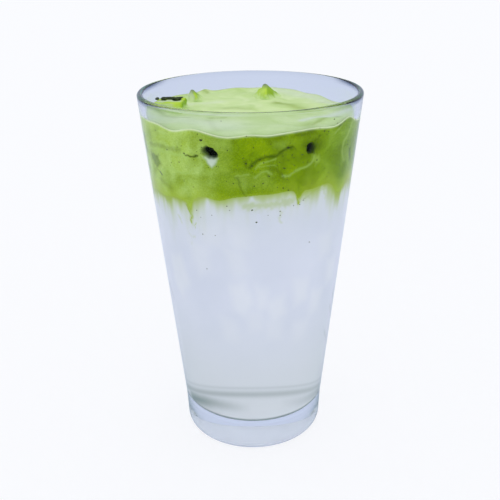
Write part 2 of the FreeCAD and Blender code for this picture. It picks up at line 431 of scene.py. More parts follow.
@dataclass(frozen=True)
class FilmedIce(Finish):
    """Ice under a film of matcha cream: yellow-green where it is thin, cream where it is thick.

    The wet corners stay bare and show grey, and the side away from the light is a deep green.
    """

    name: ClassVar[str] = "filmed_ice"
    film: Stops = ((0.35, "#A6CC1C"), (0.65, "#BCDC50"))
    patches: Mottle = Mottle(5.0)
    layers: Layers = (
        ("shaded_side", "#6E9A1E"), ("frosted", "#C3D3B4"), ("bare_corner", "#7F9070"),
        # near-black painted shadow along the back of the flat top
        ("back_shadow", "#101C06"), ("merged", "#C8E19A"),
    )
    ior: float = 1.31

    def surface(self, tree: Tree) -> dict[str, Any]:
        """Lays the film and what lies on it over the ice.

        Args:
            tree: the material's node tree.

        Returns:
            What the surface's sockets get.
        """
        return {
            "Base Color": lay_over(tree, self.patches.toned(tree, self.film), self.layers),
            "Roughness": 0.25,
            "IOR": self.ior,
            "Specular IOR Level": 0.02,
        }


@dataclass(frozen=True)
class TeaFleck(Finish):
    """Undissolved matcha powder: dark green clots, matt."""

    name: ClassVar[str] = "matcha_powder_clot"
    grains: Mottle = Mottle(1.5)
    tones: Stops = ((0.4, "#26330A"), (0.65, "#43540F"))

    def surface(self, tree: Tree) -> dict[str, Any]:
        """Gives the powder its grain."""
        return {"Base Color": self.grains.toned(tree, self.tones), "Roughness": 0.7}


@dataclass(frozen=True)
class WhiteRoom:
    """The white room, as the table and the world show it to each kind of ray.

    A ray that has met something matt and then leaves through glass is given back what the
    glass's many inner reflections lose, so the drink and the cream read about as written. What
    clear glass bends or mirrors is a cooler white, with blue-grey cards at both sides and in
    front, out of view, which draw the dark edges of the glass.
    """

    colour: str = "#FBFCFF"
    inside_glass: float = 1.8      # the light that reaches what stands behind the glass
    cool: str = "#CFD8EC"
    card: str = "#93A8B8"
    card_from: float = 40.0        # degrees away from straight behind the glass
    card_full: float = 85.0

    def card_share(self, tree: Tree, place: Socket) -> Socket:
        """How much of a card stands in a direction.

        Args:
            tree: the node tree that gets the nodes.
            place: the direction seen, or the point seen, from the glass's axis.

        Returns:
            The share's socket, 0 straight behind the glass and 1 where the card is full.
        """
        level = add_node(
            tree, "ShaderNodeVectorMath", {"operation": "MULTIPLY"}, {0: place, 1: (1, 1, 0)}
        )
        heading = add_node(
            tree, "ShaderNodeVectorMath", {"operation": "NORMALIZE"}, {0: level.outputs[0]}
        )
        behind = add_node(tree, "ShaderNodeSeparateXYZ", inputs={0: heading.outputs[0]})
        return add_node(
            tree,
            "ShaderNodeMapRange",
            {"interpolation_type": "SMOOTHSTEP"},
            {
                "Value": behind.outputs["Y"],
                "From Min": math.cos(math.radians(self.card_from)),
                "From Max": math.cos(math.radians(self.card_full)),
                "To Min": 0.0,
                "To Max": 1.0,
            },
        ).outputs[0]

    def shown(self, tree: Tree, place: Socket) -> dict[str, Socket]:
        """The room's colour and strength for each kind of ray.

        Args:
            tree: the node tree that gets the nodes.
            place: the direction seen, or the point seen, from the glass's axis.

        Returns:
            The sockets, under the names that a background or a glow has for them.
        """
        rays = add_node(tree, "ShaderNodeLightPath").outputs
        steps: dict[str, Socket] = {
            "through": rays["Is Transmission Ray"],
            "mirrored": rays["Is Glossy Ray"],
        }
        sums = (
            ("matt_met", "GREATER_THAN", rays["Diffuse Depth"], 0.5),
            ("inside", "MULTIPLY", "through", "matt_met"),
            ("bent", "ADD", "through", "mirrored"),
            ("clear", "SUBTRACT", "bent", "matt_met"),
        )
        for name, operation, first, second in sums:
            values = {0: steps.get(first, first), 1: steps.get(second, second)}
            settings = {"operation": operation, "use_clamp": True}
            steps[name] = add_node(tree, "ShaderNodeMath", settings, values).outputs[0]
        strength = add_node(
            tree, "ShaderNodeMix", inputs={0: steps["inside"], 2: 1.0, 3: self.inside_glass}
        )
        seen = add_node(
            tree,
            "ShaderNodeMix",
            {"data_type": "RGBA"},
            {"Factor": self.card_share(tree, place), 6: self.cool, 7: self.card},
        )
        colour = add_node(
            tree,
            "ShaderNodeMix",
            {"data_type": "RGBA"},
            {"Factor": steps["clear"], 6: self.colour, 7: seen.outputs[2]},
        )
        return {"Color": colour.outputs[2], "Strength": strength.outputs[0]}


@dataclass(frozen=True)
class PlainTable(Finish):
    """A matt white table: reads as white, and keeps the soft shadow of the glass."""

    name: ClassVar[str] = "matt_white_table"
    room: WhiteRoom = WhiteRoom()
    glow: float = 0.85             # how much of what the eye sees is the plain colour

    def shader(self, tree: Tree) -> Socket:
        """Mixes the matt white with the room's plain colour, for the eye and through glass.

        Args:
            tree: the material's node tree.

        Returns:
            The shader's socket.
        """
        matt = add_node(tree, "ShaderNodeBsdfDiffuse", inputs={"Color": self.room.colour})
        place = add_node(tree, "ShaderNodeTexCoord").outputs["Object"]
        plain = add_node(tree, "ShaderNodeEmission", inputs=self.room.shown(tree, place))
        rays = add_node(tree, "ShaderNodeLightPath").outputs
        share = rays["Is Camera Ray"]
        steps = (
            ("MAXIMUM", rays["Is Glossy Ray"]),
            ("MAXIMUM", rays["Is Transmission Ray"]),
            ("MULTIPLY", self.glow),
        )
        for operation, value in steps:
            settings = {"operation": operation}
            share = add_node(tree, "ShaderNodeMath", settings, {0: share, 1: value}).outputs[0]
        inputs = {0: share, 1: matt.outputs[0], 2: plain.outputs[0]}
        return add_node(tree, "ShaderNodeMixShader", inputs=inputs).outputs[0]


# ------------------------------------------------------------------ mesh helpers


def circle_of(segments: int) -> tuple[Array, Array]:
    """The cosines and sines of evenly spaced azimuths, from +X on."""
    angles = np.linspace(0, 2 * np.pi, segments, endpoint=False)
    return np.cos(angles), np.sin(angles)


def eased(start: float, end: float, steps: int) -> Array:
    """Values from start to end, closer together at both ends."""
    return start + (end - start) * (1 - np.cos(np.linspace(0, np.pi, steps + 1))) / 2


def arc_points(
    centre: tuple[float, float], radius: float, start: float, end: float, steps: int
) -> list[tuple[float, float]]:
    """Points along an arc, its ends included, with angles in degrees."""
    angles = np.radians(np.linspace(start, end, steps + 1))
    return [(centre[0] + radius * math.cos(a), centre[1] + radius * math.sin(a)) for a in angles]


def add_mask(mesh: bpy.types.Mesh, name: str, values: Array) -> None:
    """Stores one float per vertex under a name."""
    layer = mesh.attributes.new(name, "FLOAT", "POINT")
    layer.data.foreach_set("value", np.clip(values, 0, 1).astype(np.float32).ravel())


def piece_from(mesh: bpy.types.Mesh, smooth: bool = True) -> bpy.types.Object:
    """Makes an object of a mesh, links it to the scene and shades it.

    Args:
        mesh: the mesh, in metres.
        smooth: whether its faces are shaded smooth.

    Returns:
        The new object.
    """
    mesh.polygons.foreach_set("use_smooth", [smooth] * len(mesh.polygons))
    piece = bpy.data.objects.new(mesh.name, mesh)
    bpy.context.scene.collection.objects.link(piece)
    return piece


def ringed_piece(
    name: str,
    rings: Array,
    first_pole: Sequence[float],
    last_pole: Sequence[float],
    masks: Optional[dict[str, Array]] = None,
) -> bpy.types.Object:
    """Makes one closed skin of rings of points, with a pole at each end.

    Args:
        name: the piece's name.
        rings: points in millimetres, shaped (rings, points in a ring, 3).
        first_pole: the point that closes the first ring.
        last_pole: the point that closes the last ring.
        masks: values per ring point, shaped (rings, points in a ring).

    Returns:
        The new object.
    """
    count, around = rings.shape[:2]
    points = np.concatenate([rings.reshape(-1, 3), [first_pole], [last_pole]]) * MM
    index = np.arange(count * around).reshape(count, around)
    turned = np.roll(index, -1, axis=1)
    quads = np.stack([index[:-1], index[1:], turned[1:], turned[:-1]], axis=-1).reshape(-1, 4)
    first, last = count * around, count * around + 1
    fans = [(first, int(a), int(b)) for a, b in zip(index[0], turned[0])]
    fans += [(last, int(b), int(a)) for a, b in zip(index[-1], turned[-1])]
    mesh = bpy.data.meshes.new(name)
    mesh.from_pydata(points.tolist(), [], quads.tolist() + fans)
    mesh.update()
    for mask, values in (masks or {}).items():
        ends = [values[0].mean(), values[-1].mean()]
        add_mask(mesh, mask, np.concatenate([values.ravel(), ends]))
    return piece_from(mesh)


def seat(
    piece: bpy.types.Object,
    material: bpy.types.Material,
    replaces: Sequence[str] = (),
) -> None:
    """Dresses a piece and fixes it to the body.

    Args:
        piece: the object.
        material: its material.
        replaces: the CAD nodes that it stands for.
    """
    piece.data.materials.clear()
    piece.data.materials.append(material)
    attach(piece, ROOT)
    if replaces:
        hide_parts(*replaces)


def bell(distance: Array, reach: float) -> Array:
    """A bump of height 1 that fades out over its reach."""
    return np.exp(-0.5 * (distance / reach) ** 2)


def smooth_step(value: Array, low: float, high: float) -> Array:
    """Rises smoothly from 0 at low to 1 at high."""
    share = np.clip((value - low) / (high - low), 0, 1)
    return share * share * (3 - 2 * share)


def between(value: Array, start: float, full: float, wane: float, end: float) -> Array:
    """Rises smoothly from start to full, and falls again from wane to end."""
    return smooth_step(value, start, full) * (1 - smooth_step(value, wane, end))


def turn_between(azimuth: Array, other: float) -> Array:
    """The signed difference of two azimuths in degrees, within half a turn."""
    return (azimuth - other + 180) % 360 - 180


@dataclass(frozen=True)
class Ripples:
    """A sum of slow waves in many directions, the same on each run.

    Args:
        seed: picks the directions and phases.
        shortest: the shortest wavelength in mm.
        longest: the longest wavelength in mm.
        rise: the typical height in mm.
        count: how many waves are added.
    """

    seed: int
    shortest: float
    longest: float
    rise: float
    count: int = 14

    def at(self, x: Array, y: Array) -> Array:
        """The summed height of the waves.

        Args:
            x: the points' first coordinates in mm.
            y: the points' second coordinates in mm.

        Returns:
            The height at each point in mm.
        """
        draw = np.random.default_rng(self.seed)
        total = np.zeros(np.broadcast(x, y).shape)
        for _ in range(self.count):
            heading, phase = draw.uniform(0, 2 * np.pi, 2)
            wavelength = math.exp(draw.uniform(math.log(self.shortest), math.log(self.longest)))
            along = x * math.cos(heading) + y * math.sin(heading)
            total = total + np.sin(2 * np.pi * along / wavelength + phase)
        return total * self.rise * math.sqrt(2 / self.count)


# ------------------------------------------------------------------ the glass


@dataclass
class Tumbler:
    """The conical glass, turned from one half section with a rounded lip.

    Args:
        height: from the table to the rim, in mm, as every size here.
        rim_radius: outside, at the rim.
    """

    height: float
    rim_radius: float
    rim_wall: float = 2.25
    kink_radius: float = 31.0
    kink_height: float = 13.4
    foot_radius: float = 30.4
    heel_radius: float = 1.8
    base_wall: float = 2.75
    floor_height: float = 13.6
    floor_fillet: float = 3.2
    punt_radius: float = 25.0
    punt_depth: float = 0.6
    lip_depth: float = 3.0         # the part of the lip that gets the painted shade, a deep blue line
    lip_inside: float = 1.2        # and on its inner side
    lip_front: float = 0.06        # how strong that painted shade is in front
    lip_sides: tuple[float, float] = (0.62, 0.95)    # where it darkens in front, 1 at the sides
    lip_back: tuple[float, float] = (0.8, 0.98)      # and behind
    heel_shade: float = 0.6
    heel_line: float = 0.6         # how wide the dark line at the heel is
    thick_below: tuple[float, float] = (35.0, 105.0)    # the wall thickens from the second down
    segments: int = 288
    wall_steps: int = 56
    finish: SodaLimeGlass = field(default_factory=SodaLimeGlass)

    def inner_radius(self, z: Any) -> Any:
        """The inside radius of the wall.

        Args:
            z: a height, or an array of them, in mm.

        Returns:
            The radius at each height in mm.
        """
        low = self.kink_radius - self.base_wall
        high = self.rim_radius - self.rim_wall
        top = self.height - self.rim_wall / 2
        return low + (high - low) * (z - self.floor_height) / (top - self.floor_height)

    def floor_arc(self, bite: float = 0.0, steps: int = 12) -> list[tuple[float, float]]:
        """The inner corner's arc, from the wall down to the floor.

        Args:
            bite: how far the arc is pushed into the glass.
            steps: how many pieces the arc has.

        Returns:
            Radius and height pairs in mm.
        """
        centre_z = self.floor_height + self.floor_fillet
        centre = (self.inner_radius(centre_z) - self.floor_fillet, centre_z)
        return arc_points(centre, self.floor_fillet + bite, 0, -90, steps)

    def section(self) -> Array:
        """The half section from the inner floor over the rim and down to the punt.

        Returns:
            Radius and height in mm, one row for each point.
        """
        half_wall = self.rim_wall / 2
        rim_z = self.height - half_wall
        rim_centre = (self.rim_radius - half_wall, rim_z)
        corner = self.floor_arc()[::-1]
        points = [(corner[0][0] * t, self.floor_height) for t in eased(0.02, 1, 16)[:-1]]
        points += corner
        inside = eased(corner[-1][1], rim_z, self.wall_steps)[1:-1]
        points += [(float(self.inner_radius(z)), float(z)) for z in inside]
        points += arc_points(rim_centre, half_wall, 180, 0, 20)
        taper = eased(rim_z, self.kink_height, self.wall_steps)[1:]
        rate = (self.rim_radius - self.kink_radius) / (rim_z - self.kink_height)
        points += [(self.kink_radius + rate * (z - self.kink_height), float(z)) for z in taper]
        heel = (self.foot_radius - self.heel_radius, self.heel_radius)
        foot = eased(self.kink_height, self.heel_radius, 12)[1:-1]
        lean = (self.kink_radius - self.foot_radius) / self.kink_height
        points += [(self.foot_radius + lean * z, float(z)) for z in foot]
        points += arc_points(heel, self.heel_radius, 0, -90, 10)
        points += [(self.punt_radius + (heel[0] - self.punt_radius) * t, 0.0) for t in (0.66, 0.33)]
        dish = eased(1, 0.02, 14)
        points += [(self.punt_radius * t, self.punt_depth * (1 - t * t)) for t in dish]
        return np.array(points)

    def masks(self, radius: Array, z: Array, cos: Array, sin: Array) -> dict[str, Array]:
        """Where the glass shows its own colour, and where painted shade lies on its lip and its heel.

        Args:
            radius: the section's radii in mm, as a column.
            z: the points' heights in mm.
            cos: the cosines of the points' azimuths.
            sin: the sines of the points' azimuths.

        Returns:
            The masks by name, 0 to 1.
        """
        # painted shade on the lip: strongest at both sides, faint in front and behind
        outside = radius > self.rim_radius - 0.6 * self.rim_wall
        reach = np.where(outside, self.lip_depth, self.lip_inside)
        at_lip = smooth_step(z - self.height, -reach, -0.4 * reach)
        front, back = (smooth_step(np.abs(cos), *turn) for turn in (self.lip_sides, self.lip_back))
        lip = at_lip * (self.lip_front + (1 - self.lip_front) * np.where(sin > 0, back, front))
        # painted shade: a dark line round the heel
        beyond_punt = smooth_step(radius, self.punt_radius + 2, self.punt_radius + 3)
        heel = self.heel_shade * beyond_punt * bell(z - 0.5, self.heel_line)
        return {
            "painted_edge_shade": np.maximum(lip, heel),
            "thick_wall": 1 - smooth_step(z, *self.thick_below),
            "base_face": 1 - smooth_step(z, self.punt_depth, 2 * self.punt_depth),
        }

    def build(self) -> bpy.types.Object:
        """Turns the section about the glass's axis.

        Returns:
            The glass.
        """
        section = self.section()
        radius = section[:, :1]
        cos, sin = circle_of(self.segments)
        z = np.repeat(section[:, 1:], self.segments, axis=1)
        return ringed_piece(
            "clear_tumbler",
            np.stack([radius * cos, radius * sin, z], axis=-1),
            (0, 0, self.floor_height),
            (0, 0, self.punt_depth),
            self.masks(radius, z, cos, sin),
        )

    def dress(self, piece: bpy.types.Object) -> None:
        """Gives the glass its finish."""
        seat(piece, self.finish.make(), ["tumbler"])


# ------------------------------------------------------------------ the cream and the drink


@dataclass(frozen=True)
class Swell:
    """A place round the wall where a line rises or falls.

    Args:
        azimuth: its middle, in degrees.
        rise: its height in mm, negative where the line dips.
        width: its reach in degrees.
    """

    azimuth: float
    rise: float
    width: float


class Mark:
    """Something drawn on a filling: on its side, unrolled flat, or on its top."""

    def at(self, across: Array, up: Array, radius: float) -> Array:
        """How strongly it marks each point.

        Args:
            across: the points' places round the unrolled wall, or along X, in mm.
            up: their heights, or their places along Y, in mm.
            radius: in mm, of the wall, or degrees(1) where the mark is laid out in mm.

        Returns:
            The strength at each point, 0 to 1.
        """
        raise NotImplementedError


@dataclass(frozen=True)
class Pocket(Mark):
    """An air pocket in the cream against the glass, over a corner of ice.

    Args:
        azimuth: its middle, in degrees.
        height: its middle, in mm.
        wide: its width in mm.
        tall: its height in mm.
        depth: how far the cream stands back, in mm.
        lean: how much lower its right end is than its left, in mm.
    """

    azimuth: float
    height: float
    wide: float
    tall: float
    depth: float
    lean: float = 0.0

    def at(self, across: Array, up: Array, radius: float) -> Array:
        """How deep inside the pocket each point of the wall lies.

        Args:
            across: the points' places round the unrolled wall, or along X, in mm.
            up: their heights, or their places along Y, in mm.
            radius: in mm, of the wall, or degrees(1) where the mark is laid out in mm.

        Returns:
            The strength at each point, 0 to 1.
        """
        side = across - math.radians(self.azimuth) * radius
        rise = up - self.height + self.lean * side / self.wide
        inside = 1 - (2 * side / self.wide) ** 2 - (2 * rise / self.tall) ** 2
        return np.clip(inside * 2.2, 0, 1)


@dataclass(frozen=True)
class Stroke(Mark):
    """A line on a filling: a vein, a crease, a thread or a drip, or a streak on its top.

    Args:
        path: azimuth and height pairs in degrees and mm, or places on the top in mm.
        width: its full width where it starts, in mm.
        strength: how strongly it shows, 0 to 1.
        tail: its width at the end, as a share of the first.
        end: its strength at the end, as a share of the first.
    """

    path: tuple[tuple[float, float], ...]
    width: float
    strength: float = 1.0
    tail: float = 1.0
    end: float = 1.0

    def at(self, across: Array, up: Array, radius: float) -> Array:
        """How near the stroke's middle each point lies.

        Args:
            across: the points' places round the unrolled wall, or along X, in mm.
            up: their heights, or their places along Y, in mm.
            radius: in mm, of the wall, or degrees(1) where the mark is laid out in mm.

        Returns:
            The strength at each point, 0 to 1.
        """
        points = [(math.radians(azimuth) * radius, height) for azimuth, height in self.path]
        runs = list(zip(points, points[1:]))
        mark = np.zeros(np.broadcast(across, up).shape)
        for number, ((x0, z0), (x1, z1)) in enumerate(runs):
            run_x, run_z = x1 - x0, z1 - z0
            share = ((across - x0) * run_x + (up - z0) * run_z) / (run_x ** 2 + run_z ** 2)
            share = np.clip(share, 0, 1)
            gap = np.hypot(across - x0 - share * run_x, up - z0 - share * run_z)
            along = (number + share) / len(runs)
            grown = 1 + (self.tail - 1) * along
            faded = 1 + (self.end - 1) * along
            mark = np.maximum(mark, np.exp(-((2 * gap / (self.width * grown)) ** 2)) * faded)
        return mark * self.strength


@dataclass(frozen=True)
class Facet(Mark):
    """A patch on the side of the filling with straight sides: a face of ice or a fold.

    Args:
        corners: azimuth and height pairs in degrees and mm, clockwise from outside.
        strength: how strongly it shows, 0 to 1.
        soft: how wide its edge is, in mm.
    """

    corners: tuple[tuple[float, float], ...]
    strength: float
    soft: float = 1.0

    def at(self, across: Array, up: Array, radius: float) -> Array:
        """How far inside the patch each point lies.

        Args:
            across: the points' places round the unrolled wall, or along X, in mm.
            up: their heights, or their places along Y, in mm.
            radius: in mm, of the wall, or degrees(1) where the mark is laid out in mm.

        Returns:
            The strength at each point, 0 to 1.
        """
        points = np.array([(math.radians(a) * radius, z) for a, z in self.corners])
        middle = points.mean(axis=0)
        inside = np.full(np.broadcast(across, up).shape, np.inf)
        for (x0, z0), (x1, z1) in zip(points, np.roll(points, -1, axis=0)):
            normal = np.array((z0 - z1, x1 - x0)) / math.hypot(x1 - x0, z1 - z0)
            normal = normal * np.sign(normal @ (middle - (x0, z0)))
            inside = np.minimum(inside, (across - x0) * normal[0] + (up - z0) * normal[1])
        return np.clip(0.5 + inside / self.soft, 0, 1) * self.strength


def swells_at(azimuth: Array, swells: Sequence[Swell]) -> Array:
    """The summed rise of several swells.

    Args:
        azimuth: where it is wanted, in degrees.
        swells: what is summed.

    Returns:
        The rise at each azimuth in mm.
    """
    total = np.zeros(np.shape(azimuth))
    for swell in swells:
        total = total + swell.rise * bell(turn_between(azimuth, swell.azimuth), swell.width)
    return total


@dataclass
class Filling:
    """What the cream and the drink share: the glass they fill and the surface between them.

    Args:
        tumbler: the glass.
        cream_level: the cream's mean height in mm.
        cream_depth: down to the mean underside.
    """

    tumbler: Tumbler
    cream_level: float
    cream_depth: float = 24.3
    bite: float = 0.22             # how far the filling reaches into the wall
    tilt: float = 2.9              # how far the underside rises and falls round the wall
    tilt_high: float = -55.0       # degrees, where it is highest
    near_wall: float = 0.72        # the share of the radius from which the underside's waves grow
    underside: tuple[Swell, ...] = (
        Swell(-168, -1.6, 7), Swell(-147, -2.3, 20), Swell(-127, -2.0, 5),
        Swell(-105, -0.9, 7), Swell(-125, -3.6, 1.1), Swell(-64.5, -3.0, 1.5),
        Swell(-34, -4.4, 4.2), Swell(-14, -3.0, 12), Swell(24, -3.0, 9), Swell(68, -4.6, 3.6),
        Swell(108, -2.6, 10), Swell(141, -5.6, 3.2), Swell(172, -3.2, 7),
    )
    ripples: Ripples = Ripples(seed=11, shortest=9, longest=30, rise=0.35)
    fray: tuple[Ripples, ...] = (
        Ripples(seed=21, shortest=1.6, longest=8, rise=0.3),
        Ripples(seed=22, shortest=1.6, longest=8, rise=0.3),
    )

    @property
    def low_level(self) -> float:
        """The mean height of the cream's underside in mm."""
        return self.cream_level - self.cream_depth

    def underside_height(self, x: Array, y: Array) -> Array:
        """The height of the cream's underside.

        Args:
            x: the points' places along X in mm.
            y: the points' places along Y in mm.

        Returns:
            The height at each point in mm.
        """
        out = np.minimum(np.hypot(x, y) / self.tumbler.inner_radius(self.low_level), 1.05)
        azimuth = np.degrees(np.arctan2(y, x))
        tilt = self.tilt * np.cos(np.radians(azimuth - self.tilt_high))
        grown = np.clip((out - self.near_wall) / (1 - self.near_wall), 0, 1) ** 2
        waves = swells_at(azimuth, self.underside) * grown + self.ripples.at(x, y)
        return self.low_level + tilt * out + waves

    def on_wall(self, azimuth: Array, z: Array) -> tuple[Array, Array]:
        """Points in plan on the glass's inner wall, at azimuths in degrees and heights in mm."""
        radius = self.tumbler.inner_radius(z)
        return radius * np.cos(np.radians(azimuth)), radius * np.sin(np.radians(azimuth))

    def marks_at(self, marks: Sequence[Mark], azimuth: Array, z: Array, fray: float = 1.0) -> Array:
        """Draws strokes, facets and pockets on the side of a filling.

        Args:
            marks: what is drawn.
            azimuth: the points' azimuths in degrees, -180 to 180.
            z: the points' heights in mm.
            fray: how ragged the marks are, 0 for clean.

        Returns:
            The strongest mark at each point, 0 to 1.
        """
        radius = self.tumbler.inner_radius(self.cream_level - self.cream_depth / 2)
        across = np.radians(azimuth) * radius + 0 * z
        ragged = [ripple.at(across, z) * fray for ripple in self.fray]
        total = np.zeros(z.shape)
        for mark in marks:
            total = np.maximum(total, mark.at(across + ragged[0], z + ragged[1], radius))
        return total

    def marks_on_top(self, strokes: Sequence[Stroke], x: Array, y: Array, fray: float) -> Array:
        """Draws strokes on the top of the cream.

        Args:
            strokes: what is drawn, with its path in mm.
            x: the points' places along X in mm.
            y: the points' places along Y in mm.
            fray: how ragged the marks are, 0 for clean.

        Returns:
            The strongest mark at each point, 0 to 1.
        """
        ragged = [ripple.at(x, y) * fray for ripple in self.fray]
        total = np.zeros(x.shape)
        for stroke in strokes:
            mark = stroke.at(x + ragged[0], y + ragged[1], math.degrees(1))
            total = np.maximum(total, mark)
        return total


@dataclass
class PaleDrink:
    """The cloudy drink, from the glass's floor up to the cream.

    Args:
        filling: the shared surfaces.
    """

    filling: Filling
    segments: int = 512
    fine_reach: float = 26.0       # mm below the cream that is drawn finely
    foot_reach: float = 18.0       # and mm over the floor
    rows: tuple[int, int, int] = (73, 33, 41)    # in the fine part, between and over the floor
    top_rings: int = 19
    floor_rings: int = 11
    stain_depth: float = 3.0       # mm, how far the green reaches below the cream
    stain_front: tuple[float, float] = (1.3, 0.7)     # its depth and strength in front
    stain_sides: tuple[float, float] = (0.4, 0.2)     # and how much more at the sides
    haze: tuple[float, float] = (0.16, 9.0)           # the faint green below it, and its reach
    streaks: Ripples = Ripples(seed=31, shortest=2.6, longest=18, rise=0.22)
    foot_band: tuple[float, float] = (17.0, 12.0)     # mm, its height aside, and its rise in front
    foot_lines: tuple[tuple[float, float, float], ...] = ((0.0, 1.2, 0.3), (3.4, 0.5, 0.16))
    lit_line: float = 0.12         # how much darker the band is away from the light
    corner_shade: float = 0.75
    corner_rise: float = 2.2       # mm over the floor, where the glass's inner corner shades it
    settles: tuple[float, float] = (22.0, 78.0)       # mm, where it is greyest, and no more
    drips: tuple[Stroke, ...] = (
        Stroke(((-127.4, 118), (-127.2, 114.3), (-125.5, 110.9), (-125, 108.1), (-124.7, 106)),
               1.9, 0.85, 0.5),
        Stroke(((-124.7, 106.4), (-123.6, 105), (-122.3, 107.4)), 0.7, 0.6),
        Stroke(((-127.7, 101.9), (-125.4, 100.7), (-122.8, 101.4)), 0.6, 0.35),
        Stroke(((-127.7, 101.9), (-127.3, 96.9)), 0.5, 0.3),
        Stroke(((-138.7, 117), (-139.6, 112), (-141.2, 107.9)), 1.8, 0.4, 0.5),
        Stroke(((-135.7, 108.1), (-133, 105.6)), 0.9, 0.35),
        Stroke(((-75.4, 117), (-73.9, 108.6)), 1.6, 0.35, 0.6),
        Stroke(((-75.6, 119), (-71, 115.6)), 3.2, 0.5),
        Stroke(((-93, 115.8), (-80, 116), (-68, 116.8), (-58, 117.6)), 4.6, 0.5),
        Stroke(((-66.2, 120), (-65.8, 118.4), (-63.9, 115)), 2.2, 0.95, 0.5),
        Stroke(((-63.6, 118), (-45, 118.6), (-27, 119.2)), 1.6, 0.55),
        Stroke(((-47.1, 120), (-46, 114.6)), 2.2, 0.4, 0.5),
        Stroke(((-39.4, 121), (-36, 116.5), (-32.4, 111.8)), 4.6, 0.7, 0.45),
        Stroke(((-18, 118), (-14, 113)), 3.0, 0.5, 0.5),
        Stroke(((-160, 117), (-162, 112)), 2.4, 0.4, 0.5),
        Stroke(((24, 116), (22, 108)), 2.6, 0.5, 0.5),
        Stroke(((68, 115), (70, 104)), 2.6, 0.6, 0.4),
        Stroke(((108, 116), (106, 109)), 3.0, 0.5, 0.5),
        Stroke(((141, 113), (142, 103)), 2.6, 0.6, 0.4),
    )
    threads: tuple[Stroke, ...] = (
        Stroke(((-61, 116.6), (-57, 118), (-54.3, 119.9)), 0.5, 0.6),
        Stroke(((-66, 117), (-65, 115.4)), 0.5, 0.5),
    )
    # painted reflection of the thick foot, as dark crescents
    crescents: tuple[Stroke, ...] = (
        Stroke(((-152, 16.1), (-134, 19.4), (-123, 20.9), (-109, 21.6), (-97, 21.5)),
               7.0, 0.8, 0.7, 0.1),
        Stroke(((-19, 16.2), (-35, 18), (-49, 19.6), (-64, 22.4)), 6.4, 0.4, 0.7, 0.1),
    )
    # painted shade at the edges of sunk ice
    ice_edges: tuple[Stroke, ...] = (
        Stroke(((-18, 67), (-13, 62)), 1.6, 0.4),
        Stroke(((-21, 61), (-15, 56)), 1.3, 0.3),
        Stroke(((-26, 50), (-18, 44)), 1.6, 0.22),
        Stroke(((-166, 72), (-158, 66)), 1.4, 0.2),
        Stroke(((16, 74), (26, 70), (30, 62)), 1.4, 0.25),
        Stroke(((118, 84), (130, 80)), 1.4, 0.25),
    )
    sunk_ice: tuple[Facet, ...] = (
        Facet(((-150, 88), (-138, 91), (-133, 79), (-143, 71), (-151, 76)), 0.56, 4),
        Facet(((-129, 99), (-117, 97), (-115, 88), (-124, 84)), 0.37, 4),
        Facet(((-106, 98), (-96, 97), (-92, 88), (-101, 85)), 0.37, 4),
        Facet(((-104, 82), (-95, 84), (-89, 75), (-95, 68), (-102, 71)), 0.56, 4),
        Facet(((-88, 82), (-80, 80), (-80, 72), (-87, 70)), 0.50, 4),
        Facet(((-82, 75), (-70, 77), (-68, 68), (-77, 64)), 0.56, 4),
        Facet(((-64, 83), (-53, 82), (-52, 72), (-62, 71)), 0.56, 4),
        Facet(((-50, 76), (-38, 74), (-40, 65), (-49, 64)), 0.50, 4),
        Facet(((-62, 63), (-50, 62), (-51, 53), (-60, 53)), 0.37, 4),
        Facet(((-82, 66), (-70, 65), (-70, 56), (-80, 57)), 0.37, 4),
        Facet(((-95, 72), (-84, 70), (-83, 62), (-92, 61)), 0.37, 4),
        Facet(((-112, 67), (-101, 66), (-99, 56), (-110, 56)), 0.37, 4),
        Facet(((-36, 86), (-26, 85), (-25, 76), (-34, 75)), 0.50, 4),
        Facet(((-103, 107), (-92, 106), (-91, 98), (-101, 97)), 0.31, 4),
        Facet(((-120, 107), (-109, 107), (-108, 99), (-118, 98)), 0.31, 4),
        Facet(((-47, 99), (-36, 99), (-35, 90), (-45, 89)), 0.37, 4),
        Facet(((12, 96), (26, 99), (30, 86), (17, 80)), 0.50, 4),
        Facet(((40, 84), (54, 86), (57, 72), (43, 70)), 0.50, 4),
        Facet(((66, 101), (80, 98), (82, 86), (68, 86)), 0.50, 4),
        Facet(((88, 78), (103, 80), (105, 66), (92, 62)), 0.50, 4),
        Facet(((116, 95), (131, 97), (132, 83), (119, 80)), 0.50, 4),
        Facet(((140, 76), (153, 79), (156, 65), (143, 62)), 0.50, 4),
        Facet(((160, 100), (173, 98), (174, 86), (162, 84)), 0.50, 4),
    )
    finish: CloudyDrink = field(default_factory=CloudyDrink)

    def masks(self, azimuth: Array, z: Array, edge: Array) -> dict[str, Array]:
        """What colours the drink's side.

        Args:
            azimuth: the points' azimuths in degrees.
            z: the points' heights in mm.
            edge: the height of the cream's underside at each azimuth.

        Returns:
            The masks by name, 0 to 1.
        """
        filling = self.filling
        return {
            "cream_stain": self.stain(azimuth, z, np.maximum(edge - z, 0)),
            "powder_thread": filling.marks_at(self.threads, azimuth, z),
            "ice_glow": filling.marks_at(self.sunk_ice, azimuth, z, 0.5),
            "foot_shade": self.foot_shade(azimuth, z),
            "settled": 1 - smooth_step(z, *self.settles),
        }

    def stain(self, azimuth: Array, z: Array, below: Array) -> Array:
        """The green that sinks from the cream: a fade, a faint haze under it, and the drips.

        Args:
            azimuth: the points' azimuths in degrees.
            z: the points' heights in mm.
            below: how far the points lie below the cream, in mm.

        Returns:
            The stain's strength, 0 to 1.
        """
        wall = self.filling.tumbler.inner_radius(self.filling.cream_level)
        streaks = self.streaks.at(np.radians(azimuth) * wall + 0 * z, 0.35 * z)
        aside = np.abs(np.cos(np.radians(azimuth)))
        depth, strength = (
            front + more * aside for front, more in zip(self.stain_front, self.stain_sides)
        )
        reach = self.stain_depth * depth * (1 + 1.6 * streaks)
        fade = strength * np.exp(-((below / reach) ** 1.3))
        faint, faint_reach = self.haze
        haze = faint * np.exp(-below / faint_reach) * (1 + streaks)
        drips = self.filling.marks_at(self.drips, azimuth, z) * (below > 0)
        return np.maximum(np.maximum(fade, drips), haze)

